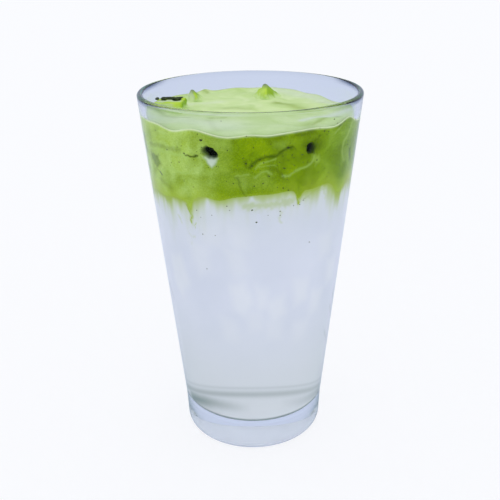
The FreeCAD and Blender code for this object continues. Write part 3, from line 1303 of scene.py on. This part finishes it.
    def foot_shade(self, azimuth: Array, z: Array) -> Array:
        """Painted shade and reflection on the drink: bands and crescents that the thick foot mirrors,
        dark edges of sunk ice and a dark inner corner.

        Args:
            azimuth: the points' azimuths in degrees.
            z: the points' heights in mm.

        Returns:
            The shade's strength, 0 to 1.
        """
        level, rise = self.foot_band
        band = level + rise * np.maximum(-np.sin(np.radians(azimuth)), 0) ** 1.5
        from_light = 0.5 - 0.5 * np.cos(np.radians(azimuth))
        (up, wide, dark), (up_thin, wide_thin, dark_thin) = self.foot_lines
        lines = (dark + self.lit_line * from_light) * bell(z - band - up, wide)
        lines = lines + dark_thin * bell(z - band - up_thin, wide_thin)
        crescents = self.filling.marks_at(self.crescents, azimuth, z, 0.2)
        ice_edges = self.filling.marks_at(self.ice_edges, azimuth, z, 0.8)
        floor = self.filling.tumbler.floor_height
        corner = smooth_step(floor + self.corner_rise - z, 0, 1.2) * (z > floor)
        marks = np.maximum(crescents, ice_edges)
        return np.maximum(np.maximum(lines, marks), self.corner_shade * corner)

    def build(self) -> bpy.types.Object:
        """Makes the drink's closed skin, top first.

        Returns:
            The drink.
        """
        tumbler, filling = self.filling.tumbler, self.filling
        azimuths = np.linspace(-180, 180, self.segments, endpoint=False)
        cos, sin = np.cos(np.radians(azimuths)), np.sin(np.radians(azimuths))
        edge = np.full(self.segments, filling.low_level)
        for _ in range(3):
            edge = filling.underside_height(*filling.on_wall(azimuths, edge))
        rings = []
        edge_radius = tumbler.inner_radius(edge) + filling.bite
        for share in np.linspace(0.03, 1, self.top_rings + 1)[:-1]:
            x, y = edge_radius * share * cos, edge_radius * share * sin
            rings.append((x, y, filling.underside_height(x, y)))
        arc = tumbler.floor_arc(filling.bite)
        low = arc[0][1]
        depth = filling.low_level - low
        parts = (0, self.fine_reach / depth, 1 - self.foot_reach / depth, 1)
        for count, start, end in zip(self.rows, parts, parts[1:]):
            for down in np.linspace(start, end, count + 1)[:-1]:
                z = edge + (low - edge) * down
                radius = tumbler.inner_radius(z) + filling.bite
                rings.append((radius * cos, radius * sin, z))
        floor = arc[-1]
        shares = np.linspace(1, 0.03, self.floor_rings + 1)[1:]
        for radius, z in [*arc, *((floor[0] * share, floor[1]) for share in shares)]:
            rings.append((radius * cos, radius * sin, np.full(self.segments, z)))
        points = np.array(rings).transpose(0, 2, 1)
        masks = self.masks(azimuths, points[..., 2], edge)
        masks["cream_stain"][:self.top_rings] = 1
        return ringed_piece(
            "cloudy_drink_body",
            points,
            (0, 0, float(points[0, :, 2].mean())),
            (0, 0, floor[1]),
            masks,
        )

    def dress(self, piece: bpy.types.Object) -> None:
        """Gives the drink its finish."""
        seat(piece, self.finish.make(), ["pale_drink"])


@dataclass
class MatchaCream:
    """The layer of whipped cream, with its lip up the wall and its collars up the ice.

    Args:
        filling: the shared surfaces.
        ice_peaks: where each piece of ice breaks the surface, in mm.
    """

    filling: Filling
    ice_peaks: Sequence[Sequence[float]]
    segments: int = 640
    top_rings: int = 48
    first_ring: float = 0.0006     # the first ring's share of the top's area
    wall_rows: int = 92
    under_rings: int = 8
    lip_rise: float = 0.7          # mm, up the wall
    lip_reach: float = 1.6         # mm, in from the wall
    collar_rise: float = 0.6       # mm, up the ice
    collar_reach: float = 3.5      # mm, round the ice
    wave_start: float = 0.55       # the share of the radius from which the contact line's waves grow
    patch_radius: float = 38.0     # mm, of the wall that the patches are laid out on
    patches: Ripples = Ripples(seed=41, shortest=5, longest=22, rise=0.16)
    airy_and_lit_left: tuple[float, ...] = (104.0, 124.0, 172.0, 180.0)     # degrees to the left, toward the light: painted light, and more air
    airy_and_lit_back: tuple[float, float] = (150.0, 26.0)                  # degrees, and its reach: painted light at the back-left, and more air
    vein_level: float = 127.2      # mm, below it the left side is a little less pale
    less_pale: float = 0.18
    greyed: tuple[float, ...] = (-62.0, -40.0, 40.0, 80.0)          # degrees
    contact: tuple[Swell, ...] = (
        Swell(-155, 0.6, 9), Swell(-132, -0.1, 5), Swell(-118, 0.9, 6), Swell(-104, -0.6, 6),
        Swell(-91, 0.3, 4), Swell(-82, -0.4, 4), Swell(-67, 0.5, 8), Swell(-49, -0.3, 5),
        Swell(-33, 2.2, 5), Swell(-18, -1.2, 9), Swell(177, 1.8, 6), Swell(119, 0.9, 2.5),
        Swell(88, 0.3, 25), Swell(34, -1.7, 15),
    )
    # the cream stands back in each pocket, which also gets near-black painted shade
    pockets: tuple[Pocket, ...] = (
        Pocket(-110.6, 135.3, 6.2, 4.3, 2.8, lean=1.3),
        Pocket(-59.3, 135.7, 3.6, 4.2, 2.0, lean=0.4),
        Pocket(-146.4, 123.4, 2.0, 1.0, 0.8, lean=1.4),
        Pocket(62.0, 131.0, 3.4, 2.4, 1.6, lean=0.6),
        Pocket(118.0, 134.0, 4.2, 2.8, 2.0, lean=-0.6),
    )
    veins: tuple[Stroke, ...] = (
        Stroke(((-157, 131.8), (-146, 132.3), (-138, 132.7), (-131, 132.9), (-125, 133)), 0.9, 1.0),
        Stroke(((-143, 125), (-135, 127), (-131, 126.4), (-126, 126), (-123, 127), (-121, 128.4),
                (-116, 129.1), (-115, 130.4)), 0.9, 0.85),
        Stroke(((-74, 126.6), (-71, 126.3), (-68, 127.6), (-66, 128.5), (-62, 129), (-59, 129.7),
                (-57, 131), (-57, 132.6)), 0.9, 0.7),
        Stroke(((-88, 126.4), (-85, 128.6), (-82, 129), (-80, 127.6)), 0.8, 0.5),
        Stroke(((-88, 129.8), (-85, 131.9), (-81, 132.5), (-78, 133.3)), 0.7, 0.5),
        Stroke(((-87, 130.5), (-83, 130.8), (-78, 130.9)), 0.6, 0.35),
        Stroke(((-98, 127.2), (-91, 127.6)), 0.6, 0.5),
        Stroke(((-28, 141.2), (-32, 136.9), (-35, 135), (-36, 131.7), (-33, 127.4)), 1.4, 0.55),
        Stroke(((-37, 143.9), (-40, 141.1), (-44, 139.4)), 0.8, 0.5),
        Stroke(((-27, 144.9), (-25.5, 142.3)), 1.8, 1.0),
        Stroke(((22, 128), (34, 130), (48, 127)), 0.9, 0.6),
        Stroke(((70, 126), (84, 128), (96, 126.6), (108, 129)), 0.9, 0.6),
        Stroke(((124, 131), (138, 129.6), (152, 131)), 0.9, 0.6),
    )
    vein_facets: tuple[Facet, ...] = (
        Facet(((-98, 127.3), (-92, 127.6), (-92.6, 120.5)), 0.3, 1.6),
        Facet(((-58, 133.2), (-54, 132.8), (-53.4, 130), (-55.3, 128.7), (-57.6, 131)), 0.6, 1.4),
        Facet(((-36, 132.4), (-28, 132.6), (-27, 126.6), (-35, 126.4)), 0.4, 1.6),
        Facet(((-79, 139.4), (-73, 139.2), (-73, 137), (-79, 137)), 0.25, 1.4),
        Facet(((-112, 141.6), (-100, 141.2), (-99, 136.6), (-107, 136.8)), 0.3, 2.0),
    )
    # painted shade in the folds of the cream
    creases: tuple[Stroke, ...] = (
        Stroke(((-95, 120.4), (-80, 120.4), (-66, 121.6)), 5.0, 0.13),
        Stroke(((-125, 133.7), (-124, 133), (-120, 132.9), (-117, 134.1)), 0.6, 0.95, 1.3),
        Stroke(((-70, 137), (-73, 136.7), (-77, 134.6), (-82, 134.1), (-87, 133.1), (-91, 130.4)),
               1.3, 0.75),
        Stroke(((-68, 141.2), (-63, 141.2), (-59, 141.8)), 1.0, 0.5),
        Stroke(((-41, 144), (-37, 145.2)), 0.9, 0.95),
        Stroke(((-41, 141.5), (-37, 142.9)), 0.9, 0.85),
        Stroke(((-97, 126.5), (-96, 123.4), (-93, 119.2)), 0.9, 0.5),
        Stroke(((-59, 136.5), (-57, 138.4), (-54, 139.6)), 1.4, 0.7, 0.5),
        Stroke(((-153, 133.7), (-141, 134.6), (-128, 134.6)), 1.8, 0.3),
        Stroke(((-147, 120.6), (-138, 118.4)), 2.2, 0.28),
        Stroke(((-92.4, 133), (-92.4, 130.6)), 1.2, 0.5),
        Stroke(((-78, 129.6), (-72, 124.6)), 1.2, 0.3),
        Stroke(((-164, 135.4), (-163, 129.4)), 1.6, 0.95),
        Stroke(((-61, 136.4), (-57.5, 136.4)), 5.4, 0.6),
        Stroke(((-27, 130.9), (-24, 126.7)), 1.6, 0.6),
        Stroke(((30, 134), (42, 136), (54, 133)), 1.3, 0.6),
        Stroke(((84, 134), (96, 132), (110, 135)), 1.3, 0.6),
        Stroke(((140, 136), (154, 134)), 1.2, 0.6),
    )
    # painted shade in the folds, as patches
    crease_facets: tuple[Facet, ...] = (
        Facet(((-156, 129.9), (-145, 130.4), (-145, 126.6), (-150, 124.7), (-153.5, 127)), 0.5, 1.2),
        Facet(((-70, 144), (-57, 144), (-57, 140), (-70, 140)), 0.22, 2.0),
    )
    pale_patches: tuple[Facet, ...] = (
        Facet(((-113, 128), (-78, 128), (-78, 122.5), (-113, 122.5)), 0.16, 3),
        Facet(((-109, 142), (-100, 142), (-100, 126), (-109, 126)), 0.22, 3),
    )
    wet: float = 0.6                    # how dark the top is where it is wet, at the front wall
    wet_reach: float = 1.8              # mm, how far in from the wall
    stirred: tuple[Stroke, ...] = (     # on the top, in plan, in mm
        Stroke(((-15.8, -16.5), (-13.6, -24.6), (-11.5, -32.2)), 3.4, 0.4, 0.8, 0.6),
        Stroke(((-15.4, -11.4), (-10, -11.7)), 1.6, 0.7),
        Stroke(((-27.8, -12.4), (-23.4, -12.7)), 1.4, 0.7),
        Stroke(((-37, -1.2), (-31.5, -8.9), (-28.4, -12.2)), 3.4, 0.5),
        Stroke(((21.5, -23.8), (20.8, -34.8)), 7.0, 0.4),
        Stroke(((11, 13.6), (15.3, 8.8), (20, 2.6)), 4.6, 0.85, 1.2, 0.6),
        Stroke(((-9.5, 2.5), (-1.7, 2.1)), 5.0, 0.5),
        Stroke(((-21, 36), (-19, 34)), 3.0, 0.6),
        Stroke(((22, -24), (28, -17), (33, -10)), 2.4, 0.6),
    )
    gleams: tuple[Stroke, ...] = (
        Stroke(((19, -17.6), (29.5, -10.4), (38.5, -2.4)), 3.0, 0.7, 1.5),
        Stroke(((-30, 10), (-22, 14), (-12, 15)), 4.0, 0.3),
        Stroke(((-35, -11), (-23, -18), (-8, -27)), 15.0, 0.4),
        Stroke(((12, 37), (25, 29), (35, 14)), 9.0, 0.5, 1.3),
    )
    frost: tuple[Facet, ...] = (
        Facet(((-113.6, 133.6), (-107, 133.4), (-107.4, 131.6), (-109.4, 130), (-111.6, 131.4)),
              0.8, 1.2),
    )
    ripples: Ripples = Ripples(seed=5, shortest=12, longest=40, rise=0.22)
    finish: WhippedMatcha = field(default_factory=WhippedMatcha)

    def top_height(self, x: Array, y: Array) -> Array:
        """The height of the cream's top.

        Args:
            x: the points' places along X in mm.
            y: the points' places along Y in mm.

        Returns:
            The height at each point in mm.
        """
        wall = self.filling.tumbler.inner_radius(self.filling.cream_level)
        radius = np.hypot(x, y)
        azimuth = np.degrees(np.arctan2(y, x))
        lip = self.lip_rise * np.exp(-np.maximum(wall - radius, 0) / self.lip_reach)
        grown = np.clip((radius / wall - self.wave_start) / (1 - self.wave_start), 0, 1) ** 2
        edge = swells_at(azimuth, self.contact) * grown
        collar = np.zeros(np.shape(x))
        for peak in self.ice_peaks:
            near = bell(np.hypot(x - peak[0], y - peak[1]), self.collar_reach)
            collar = np.maximum(collar, self.collar_rise * near)
        return self.filling.cream_level - self.lip_rise / 2 + self.ripples.at(x, y) + (
            lip + edge + collar
        )

    def wall_masks(self, azimuth: Array, z: Array, top: Array, low: Array) -> dict[str, Array]:
        """What colours the side of the cream, pressed against the glass.

        Args:
            azimuth: the points' azimuths in degrees.
            z: the points' heights in mm.
            top: the height of the contact line at each azimuth.
            low: the height of the underside at each azimuth.

        Returns:
            The masks by name, 0 to 1.
        """
        marks = self.filling.marks_at
        all_round = azimuth + 0 * z
        patches = self.patches.at(np.radians(azimuth) * self.patch_radius + 0 * z, z)
        # painted light: paler toward the light at the left and back-left, over uneven patches of more
        # air
        back, reach = self.airy_and_lit_back
        lit_foam = between(-all_round, *self.airy_and_lit_left)
        lit_foam = np.maximum(lit_foam, bell(turn_between(all_round, back), reach))
        less = self.less_pale * smooth_step(self.vein_level - z, 0, 2.5)
        airy = lit_foam * (0.95 - less) + patches * (0.15 + 0.85 * lit_foam)
        vein_faces = marks(self.vein_facets, azimuth, z, 0.8) * 0.7
        veins = np.maximum(marks(self.veins, azimuth, z, 0.35), vein_faces)
        crease_faces = marks(self.crease_facets, azimuth, z, 1.0)
        aside = np.abs(np.cos(np.radians(azimuth)))
        soft_line, crisp_line = bell(z - low, 3.0) * 0.85 * aside, bell(z - low, 0.6) * 0.4
        return {
            "airy": airy + marks(self.pale_patches, azimuth, z, 0.8),
            "greyed": between(all_round, *self.greyed) + patches * 0.5,
            "vein": veins * 0.85,
            # painted shade in the folds
            "crease": np.maximum(marks(self.creases, azimuth, z, 0.5), crease_faces),
            "frost": marks(self.frost, azimuth, z, 0.6),
            "top_line": bell(top - z, 0.4),
            "low_line": np.maximum(soft_line, crisp_line),
            # near-black painted shade in the air pockets
            "pocket": marks(self.pockets, azimuth, z, 0.35),
        }

    def build(self) -> bpy.types.Object:
        """Makes the cream's closed skin: top, wall side, then underside.

        Returns:
            The cream.
        """
        filling, tumbler = self.filling, self.filling.tumbler
        azimuths = np.linspace(-180, 180, self.segments, endpoint=False)
        cos, sin = np.cos(np.radians(azimuths)), np.sin(np.radians(azimuths))
        top = np.full(self.segments, filling.cream_level)
        low = np.full(self.segments, filling.low_level)
        for _ in range(3):
            top = self.top_height(*filling.on_wall(azimuths, top))
            low = filling.underside_height(*filling.on_wall(azimuths, low))

        edge = tumbler.inner_radius(top) + filling.bite
        shares = np.sqrt(np.linspace(self.first_ring, 1, self.top_rings))[:-1, None]
        x, y = edge * shares * cos, edge * shares * sin
        over = np.stack([x, y, self.top_height(x, y)], axis=-1)
        to_wall = edge * (1 - shares)
        wet = self.wet * np.exp(-to_wall / self.wet_reach) * smooth_step(-sin, 0.2, 0.8)
        over_masks = {
            # painted light over the whole top
            "in_air": np.ones(x.shape),
            "stirred": np.maximum(filling.marks_on_top(self.stirred, x, y, 0.5), wet),
            "gleam": filling.marks_on_top(self.gleams, x, y, 0.5),
        }

        z = top + (low - filling.bite - top) * np.linspace(0, 1, self.wall_rows)[:, None]
        dent = np.zeros(z.shape)
        for place in self.pockets:
            dent = np.maximum(dent, filling.marks_at([place], azimuths, z, 0.35) * place.depth)
        radius = tumbler.inner_radius(z) + filling.bite - dent
        side = np.stack([radius * cos, radius * sin, z], axis=-1)

        shares = np.linspace(1, 0.03, self.under_rings + 1)[1:, None]
        x, y = tumbler.inner_radius(low) * shares * cos, tumbler.inner_radius(low) * shares * sin
        under = np.stack([x, y, filling.underside_height(x, y) - filling.bite], axis=-1)

        points = np.concatenate([over, side, under])
        masks = {}
        placed = (
            (0, over_masks),
            (len(over), self.wall_masks(azimuths, z, top, low)),
        )
        for start, found in placed:
            for name, values in found.items():
                masks[name] = np.zeros(points.shape[:2])
                masks[name][start:start + len(values)] = values
        poles = [(0, 0, float(points[end, :, 2].mean())) for end in (0, -1)]
        return ringed_piece("whipped_cream_layer", points, *poles, masks)

    def dress(self, piece: bpy.types.Object) -> None:
        """Gives the cream its finish."""
        seat(piece, self.finish.make(), ["matcha_cream"])


@dataclass
class TeaFlecks:
    """Clots of matcha powder against the glass, in the cream and in the drink.

    Args:
        filling: the shared surfaces.
    """

    filling: Filling
    crust: Sequence[tuple[float, float, float]] = ()    # mm, clots that lie on the ice
    smallest: float = 0.32         # mm across
    largest: float = 0.62
    flatness: float = 0.5          # their thickness, as a share of their width
    scattered: int = 260           # further fine ones, all round
    gathered: int = 90             # and in the folds of the front
    folds: tuple[float, float] = (-72.0, 16.0)      # degrees, where these lie, and their spread
    seed: int = 3
    large: tuple[tuple[float, float], ...] = ((-114.5, 139.6), (-71.8, 137), (-92.4, 131.9))
    placed: tuple[tuple[float, float], ...] = (
        (-92, 141.8), (-99, 124.3), (-84, 124.4), (-81, 126.9), (-68.1, 136.3), (-69.5, 134.1),
        (-64, 133.8), (-71.5, 132.4), (-76, 131.9), (-60.9, 130.7), (-68, 130.2), (-70, 129.3),
        (-65, 140.8), (-49, 126.9), (-55, 130.8), (-73.5, 122), (-70.7, 121), (-116, 141.7),
        (-129, 135.8), (-137, 133.8), (-125, 133.9), (-129, 130.1), (-136, 128), (-145, 140),
        (-52, 141.1), (-49, 140.6), (-55, 142.5), (-45.9, 144.7), (-43.2, 142.9),
        (-120.9, 112.3), (-118.7, 109.7), (-111.8, 111.2), (-118.5, 102.8), (-110.7, 103),
        (-103, 115.4), (-81.2, 111.8), (-87.4, 109.2), (-89.7, 114.1), (-74.7, 113),
        (-74.6, 111.4), (-61.5, 116.1), (-63.5, 114.6), (-118, 88), (-55, 98),
    )

    def spots(self, draw: np.random.Generator) -> list[tuple[float, float, float]]:
        """Places the clots that lie against the glass.

        Args:
            draw: where the random numbers come from.

        Returns:
            Each clot's azimuth in degrees, its height in mm and how grown it is.
        """
        depth = self.filling.cream_depth
        middle = self.filling.cream_level - depth / 2
        spots = [(*place, 1.5) for place in self.large] + [(*place, 1.0) for place in self.placed]
        for _ in range(self.scattered):
            azimuth = draw.uniform(-180, 180)
            height = middle + draw.uniform(-0.44, 0.42) * depth
            spots.append((azimuth, height, draw.uniform(0.35, 0.75)))
        for _ in range(self.gathered):
            azimuth = draw.normal(*self.folds)
            height = middle + draw.normal(0, 0.22) * depth
            spots.append((azimuth, height, draw.uniform(0.35, 0.8)))
        return spots

    def build(self) -> bpy.types.Object:
        """Joins all the clots in one mesh.

        Returns:
            The clots.
        """
        draw = np.random.default_rng(self.seed)
        lump = bmesh.new()
        bmesh.ops.create_icosphere(lump, subdivisions=2, radius=0.5)
        shape = np.array([vertex.co[:] for vertex in lump.verts])
        faces = np.array([[vertex.index for vertex in face.verts] for face in lump.faces])
        lump.free()
        points = []
        for azimuth, height, grown in self.spots(draw):
            width = draw.uniform(self.smallest, self.largest) * grown
            size = np.array((self.flatness, draw.uniform(0.8, 1.5), draw.uniform(0.7, 1.1))) * width
            bumps = 1 + draw.uniform(-0.18, 0.18, (len(shape), 1))
            turn = math.radians(azimuth)
            radius = self.filling.tumbler.inner_radius(height) + self.filling.bite
            local = shape * bumps * size + (radius, 0, 0)
            x = local[:, 0] * math.cos(turn) - local[:, 1] * math.sin(turn)
            y = local[:, 0] * math.sin(turn) + local[:, 1] * math.cos(turn)
            points.append(np.stack([x, y, local[:, 2] + height], axis=-1))
        for place in self.crust:
            size = draw.uniform((0.8, 0.8, 0.5), (1.7, 1.4, 0.8))
            bumps = 1 + draw.uniform(-0.2, 0.2, (len(shape), 1))
            points.append(shape * bumps * size + place)
        starts = np.arange(len(points))[:, None, None] * len(shape)
        mesh = bpy.data.meshes.new("matcha_powder_clots")
        polygons = (faces + starts).reshape(-1, 3).tolist()
        mesh.from_pydata((np.concatenate(points) * MM).tolist(), [], polygons)
        mesh.update()
        return piece_from(mesh)

    def dress(self, piece: bpy.types.Object) -> None:
        """Gives the clots their finish."""
        seat(piece, TeaFleck().make())


# ------------------------------------------------------------------ the ice


@dataclass
class CoatedIce:
    """One piece of ice that breaks the cream, under a film of it, with a bare tip.

    Args:
        node: the CAD node that it stands for.
        source: the CAD node's object, whose shape it refines.
        film: the finish that all the ice shares.
        cream_level: where the cream stands round it, in mm.
        frosted_side: how much its left side is frosted, 0 to 1.
    """

    node: str
    source: bpy.types.Object
    film: bpy.types.Material
    cream_level: float
    frosted_side: float = 0.0
    grain: float = 0.45            # mm, the refined mesh's spacing
    smoothings: int = 3
    melt: Ripples = Ripples(seed=8, shortest=3, longest=9, rise=0.12)
    film_edge: Ripples = Ripples(seed=9, shortest=1.5, longest=6, rise=0.25)
    film_reach: float = 2.2        # mm over the cream, where the ice has its colour
    bare: float = 1.6              # mm, how much of the tip the film leaves bare

    def peak(self) -> list[float]:
        """The highest point of the ice in mm."""
        points = [vertex.co for vertex in self.source.data.vertices]
        return [value / MM for value in max(points, key=lambda point: point.z)]

    def masks(self, points: Array, normals: Array) -> dict[str, Array]:
        """What colours the ice.

        Args:
            points: the mesh's points in mm, one row each.
            normals: the mesh's normals, one row each.

        Returns:
            The masks by name, 0 to 1.
        """
        x, y, z = points.T
        uneven = self.film_edge.at(x + z, y - z)
        film_top = self.cream_level + self.film_reach
        return {
            "bare_corner": (z - z.max() + self.bare) / self.bare + uneven * 0.4,
            "frosted": smooth_step(-normals[:, 0], 0.2, 0.7) * self.frosted_side * 0.8,
            "back_shadow": 0 * z,
            "shaded_side": smooth_step(normals[:, 0], 0.35, 0.8) * 0.8,
            "merged": 1 - smooth_step(z + uneven, self.cream_level, film_top),
        }

    def build(self) -> bpy.types.Object:
        """Refines the CAD shape and melts its faces a little.

        Returns:
            The ice.
        """
        mesh = self.source.data.copy()
        mesh.name = f"filmed_{self.node}"
        piece = piece_from(mesh)
        refine = piece.modifiers.new("refine", "REMESH")
        refine.mode = "VOXEL"
        refine.voxel_size = self.grain * MM
        piece.modifiers.new("smooth", "SMOOTH").iterations = self.smoothings
        graph = bpy.context.evaluated_depsgraph_get()
        refined = bpy.data.meshes.new_from_object(piece.evaluated_get(graph))
        piece.modifiers.clear()
        piece.data = refined
        refined.name = mesh.name
        points, normals = (np.empty(len(refined.vertices) * 3) for _ in range(2))
        refined.vertices.foreach_get("co", points)
        refined.vertices.foreach_get("normal", normals)
        points, normals = points.reshape(-1, 3) / MM, normals.reshape(-1, 3)
        shift = self.melt.at(points[:, 0] + points[:, 2], points[:, 1] - points[:, 2])
        points = points + normals * shift[:, None]
        refined.vertices.foreach_set("co", (points * MM).ravel())
        for name, values in self.masks(points, normals).items():
            add_mask(refined, name, values)
        refined.polygons.foreach_set("use_smooth", [True] * len(refined.polygons))
        refined.update()
        return piece

    def dress(self, piece: bpy.types.Object) -> None:
        """Gives the ice its finish."""
        seat(piece, self.film, [self.node])


@dataclass
class CrustedIce(CoatedIce):
    """A flat-topped piece of ice with near-black painted shadow along the back of its top, and clots of
    powder there.
    """

    flat: float = 0.8              # mm under the highest point, what still counts as its top
    back_shadow: float = 6.0            # mm, how far the painted shadow reaches from the back
    blots: Ripples = Ripples(seed=14, shortest=2.2, longest=6, rise=0.5)
    crack: float = 11.0            # mm from its right end, where the painted shadow leaves a gap
    clots: int = 110               # true lumps of powder on it
    clots_start: float = 2.0       # mm from its right end
    clots_length: float = 13.5     # mm, on to the cream
    clots_gap: float = 10.5        # mm from its right end
    wall_gap: float = 0.8          # mm, how far they stay off the glass
    seed: int = 8

    def clot_places(self, cream: "MatchaCream") -> list[tuple[float, float, float]]:
        """Places clots of powder along the back of its top, and on the cream beside it.

        Args:
            cream: the cream that the ice stands in.

        Returns:
            The clots' places in mm.
        """
        points = np.array([vertex.co[:] for vertex in self.source.data.vertices]) / MM
        top = points[:, 2].max()
        x, y, _ = points[points[:, 2] > top - self.flat].T
        draw = np.random.default_rng(self.seed)
        places = []
        for _ in range(self.clots):
            along = x.max() - self.clots_start - draw.uniform(0, self.clots_length)
            deep = y.max() - 0.5 - abs(draw.normal(0, 1.5))
            height = top + 0.05
            if along < x.min() + 0.5:
                height = float(cream.top_height(np.array(along), np.array(deep))) + 0.1
            wall = cream.filling.tumbler.inner_radius(height) - self.wall_gap
            if math.hypot(along, deep) < wall and abs(along - x.max() + self.clots_gap) > 0.9:
                places.append((along, deep, height))
        return places

    def masks(self, points: Array, normals: Array) -> dict[str, Array]:
        """What colours the ice: a film over all of it, frost, and the painted shadow along the back.

        Args:
            points: the mesh's points in mm, one row each.
            normals: the mesh's normals, one row each.

        Returns:
            The masks by name, 0 to 1.
        """
        x, y, z = points.T
        top = z.max()
        back, right = y[z > top - self.flat].max(), x[z > top - self.flat].max()
        strip = back - self.back_shadow
        uneven = self.film_edge.at(x + z, y - z)
        # painted shadow along the back of the top, blotchy, with a gap
        on_back = smooth_step(y + 1.6 * uneven, strip - 0.4, strip + 0.4)
        gap = smooth_step(np.abs(x - right + self.crack + uneven), 0.6, 1.6)
        gap = gap * smooth_step(self.blots.at(x, y), -0.9, -0.5)
        end = smooth_step(right - 1.5 - x, 0, 0.8)
        upper = smooth_step(z, top - 2.4, top - 1.6) * smooth_step(normals[:, 2], -0.3, 0.1)
        flat_top = smooth_step(z, top - 1.2, top - 0.5) * smooth_step(normals[:, 2], 0.5, 0.8)
        beside = smooth_step(y, strip - 4, strip - 2) * flat_top * end * (1 - on_back)
        front = smooth_step(-normals[:, 1], 0.3, 0.8) * smooth_step(right - 3.5 - x, 0, 2)
        return {
            **super().masks(points, normals),
            "bare_corner": 0 * z,
            "frosted": np.maximum(beside, 0.6 * front) * 0.8,
            "back_shadow": on_back * gap * end * upper,
        }


# ------------------------------------------------------------------ the studio


@dataclass
class Studio:
    """The white table, the soft light and the camera."""

    camera_distance: float = 273.2     # mm, in front of the glass's axis
    camera_height: float = 200.7
    pitch: float = 23.605              # degrees down
    yaw: float = -0.176
    roll: float = -0.71
    lens: float = 50.02
    sensor: float = 36.0
    table_gap: float = 0.2             # mm, keeps the table clear of the foot's face
    table_half: float = 3000.0
    room: WhiteRoom = WhiteRoom()

    def place_camera(self) -> None:
        """Puts the camera in front of the glass, looking slightly down."""
        camera = bpy.data.objects.new("camera", bpy.data.cameras.new("camera"))
        camera.data.lens = self.lens
        camera.data.sensor_width = self.sensor
        camera.data.clip_start = 1 * MM
        bpy.context.scene.collection.objects.link(camera)
        pitch, yaw, roll = (math.radians(a) for a in (self.pitch, self.yaw, self.roll))
        forward = Vector(
            (math.sin(yaw) * math.cos(pitch), math.cos(yaw) * math.cos(pitch), -math.sin(pitch))
        )
        level_right = forward.cross(Vector((0, 0, 1))).normalized()
        level_up = level_right.cross(forward)
        right = math.cos(roll) * level_right + math.sin(roll) * level_up
        up = -math.sin(roll) * level_right + math.cos(roll) * level_up
        turn = Matrix((right, up, -forward)).transposed().to_4x4()
        place = Matrix.Translation((0, -self.camera_distance * MM, self.camera_height * MM))
        camera.matrix_world = place @ turn
        bpy.context.scene.camera = camera

    def lay_table(self) -> None:
        """Lays the white table under the glass."""
        mesh = bpy.data.meshes.new("table")
        half, z = self.table_half * MM, -self.table_gap * MM
        corners = [(-half, -half, z), (half, -half, z), (half, half, z), (-half, half, z)]
        mesh.from_pydata(corners, [], [(0, 1, 2, 3)])
        table = piece_from(mesh, smooth=False)
        table.data.materials.append(PlainTable(self.room).make())

    def light(self) -> None:
        """Lights the drink with a plain white world."""
        world = bpy.data.worlds.new("white_room")
        bpy.context.scene.world = world
        world.use_nodes = True
        tree = world.node_tree
        tree.nodes.clear()
        direction = add_node(tree, "ShaderNodeTexCoord").outputs["Generated"]
        white = add_node(tree, "ShaderNodeBackground", inputs=self.room.shown(tree, direction))
        add_node(tree, "ShaderNodeOutputWorld", inputs={"Surface": white.outputs[0]})

    def build(self) -> None:
        """Builds the whole studio."""
        self.place_camera()
        self.lay_table()
        self.light()
        scene = bpy.context.scene
        scene.view_settings.view_transform = "Standard"


def main() -> None:
    """Builds the drink in its glass round the CAD frame."""
    logging.basicConfig(level=logging.INFO, format="%(name)s: %(message)s")
    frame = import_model()
    rim_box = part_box("tumbler")
    Studio().build()

    tumbler = Tumbler(height=rim_box[1][2] / MM, rim_radius=rim_box[1][0] / MM)
    filling = Filling(tumbler, cream_level=tumbler.height - HEADSPACE)
    film = FilmedIce().make()
    kinds = (("ice_back", CoatedIce, 0.15), ("ice_left", CoatedIce, 1.0), ("ice_side", CrustedIce, 0.0))
    ice = [
        kind(node, frame["nodes"][node], film, filling.cream_level, frosted_side)
        for node, kind, frosted_side in kinds
    ]
    cream = MatchaCream(filling, [lump.peak() for lump in ice])
    flecks = TeaFlecks(filling, ice[-1].clot_places(cream))
    for part in (tumbler, PaleDrink(filling), cream, flecks, *ice):
        piece = part.build()
        part.dress(piece)
        log.info("%s: %d faces", piece.name, len(piece.data.polygons))


if __name__ == "__main__":
    main()
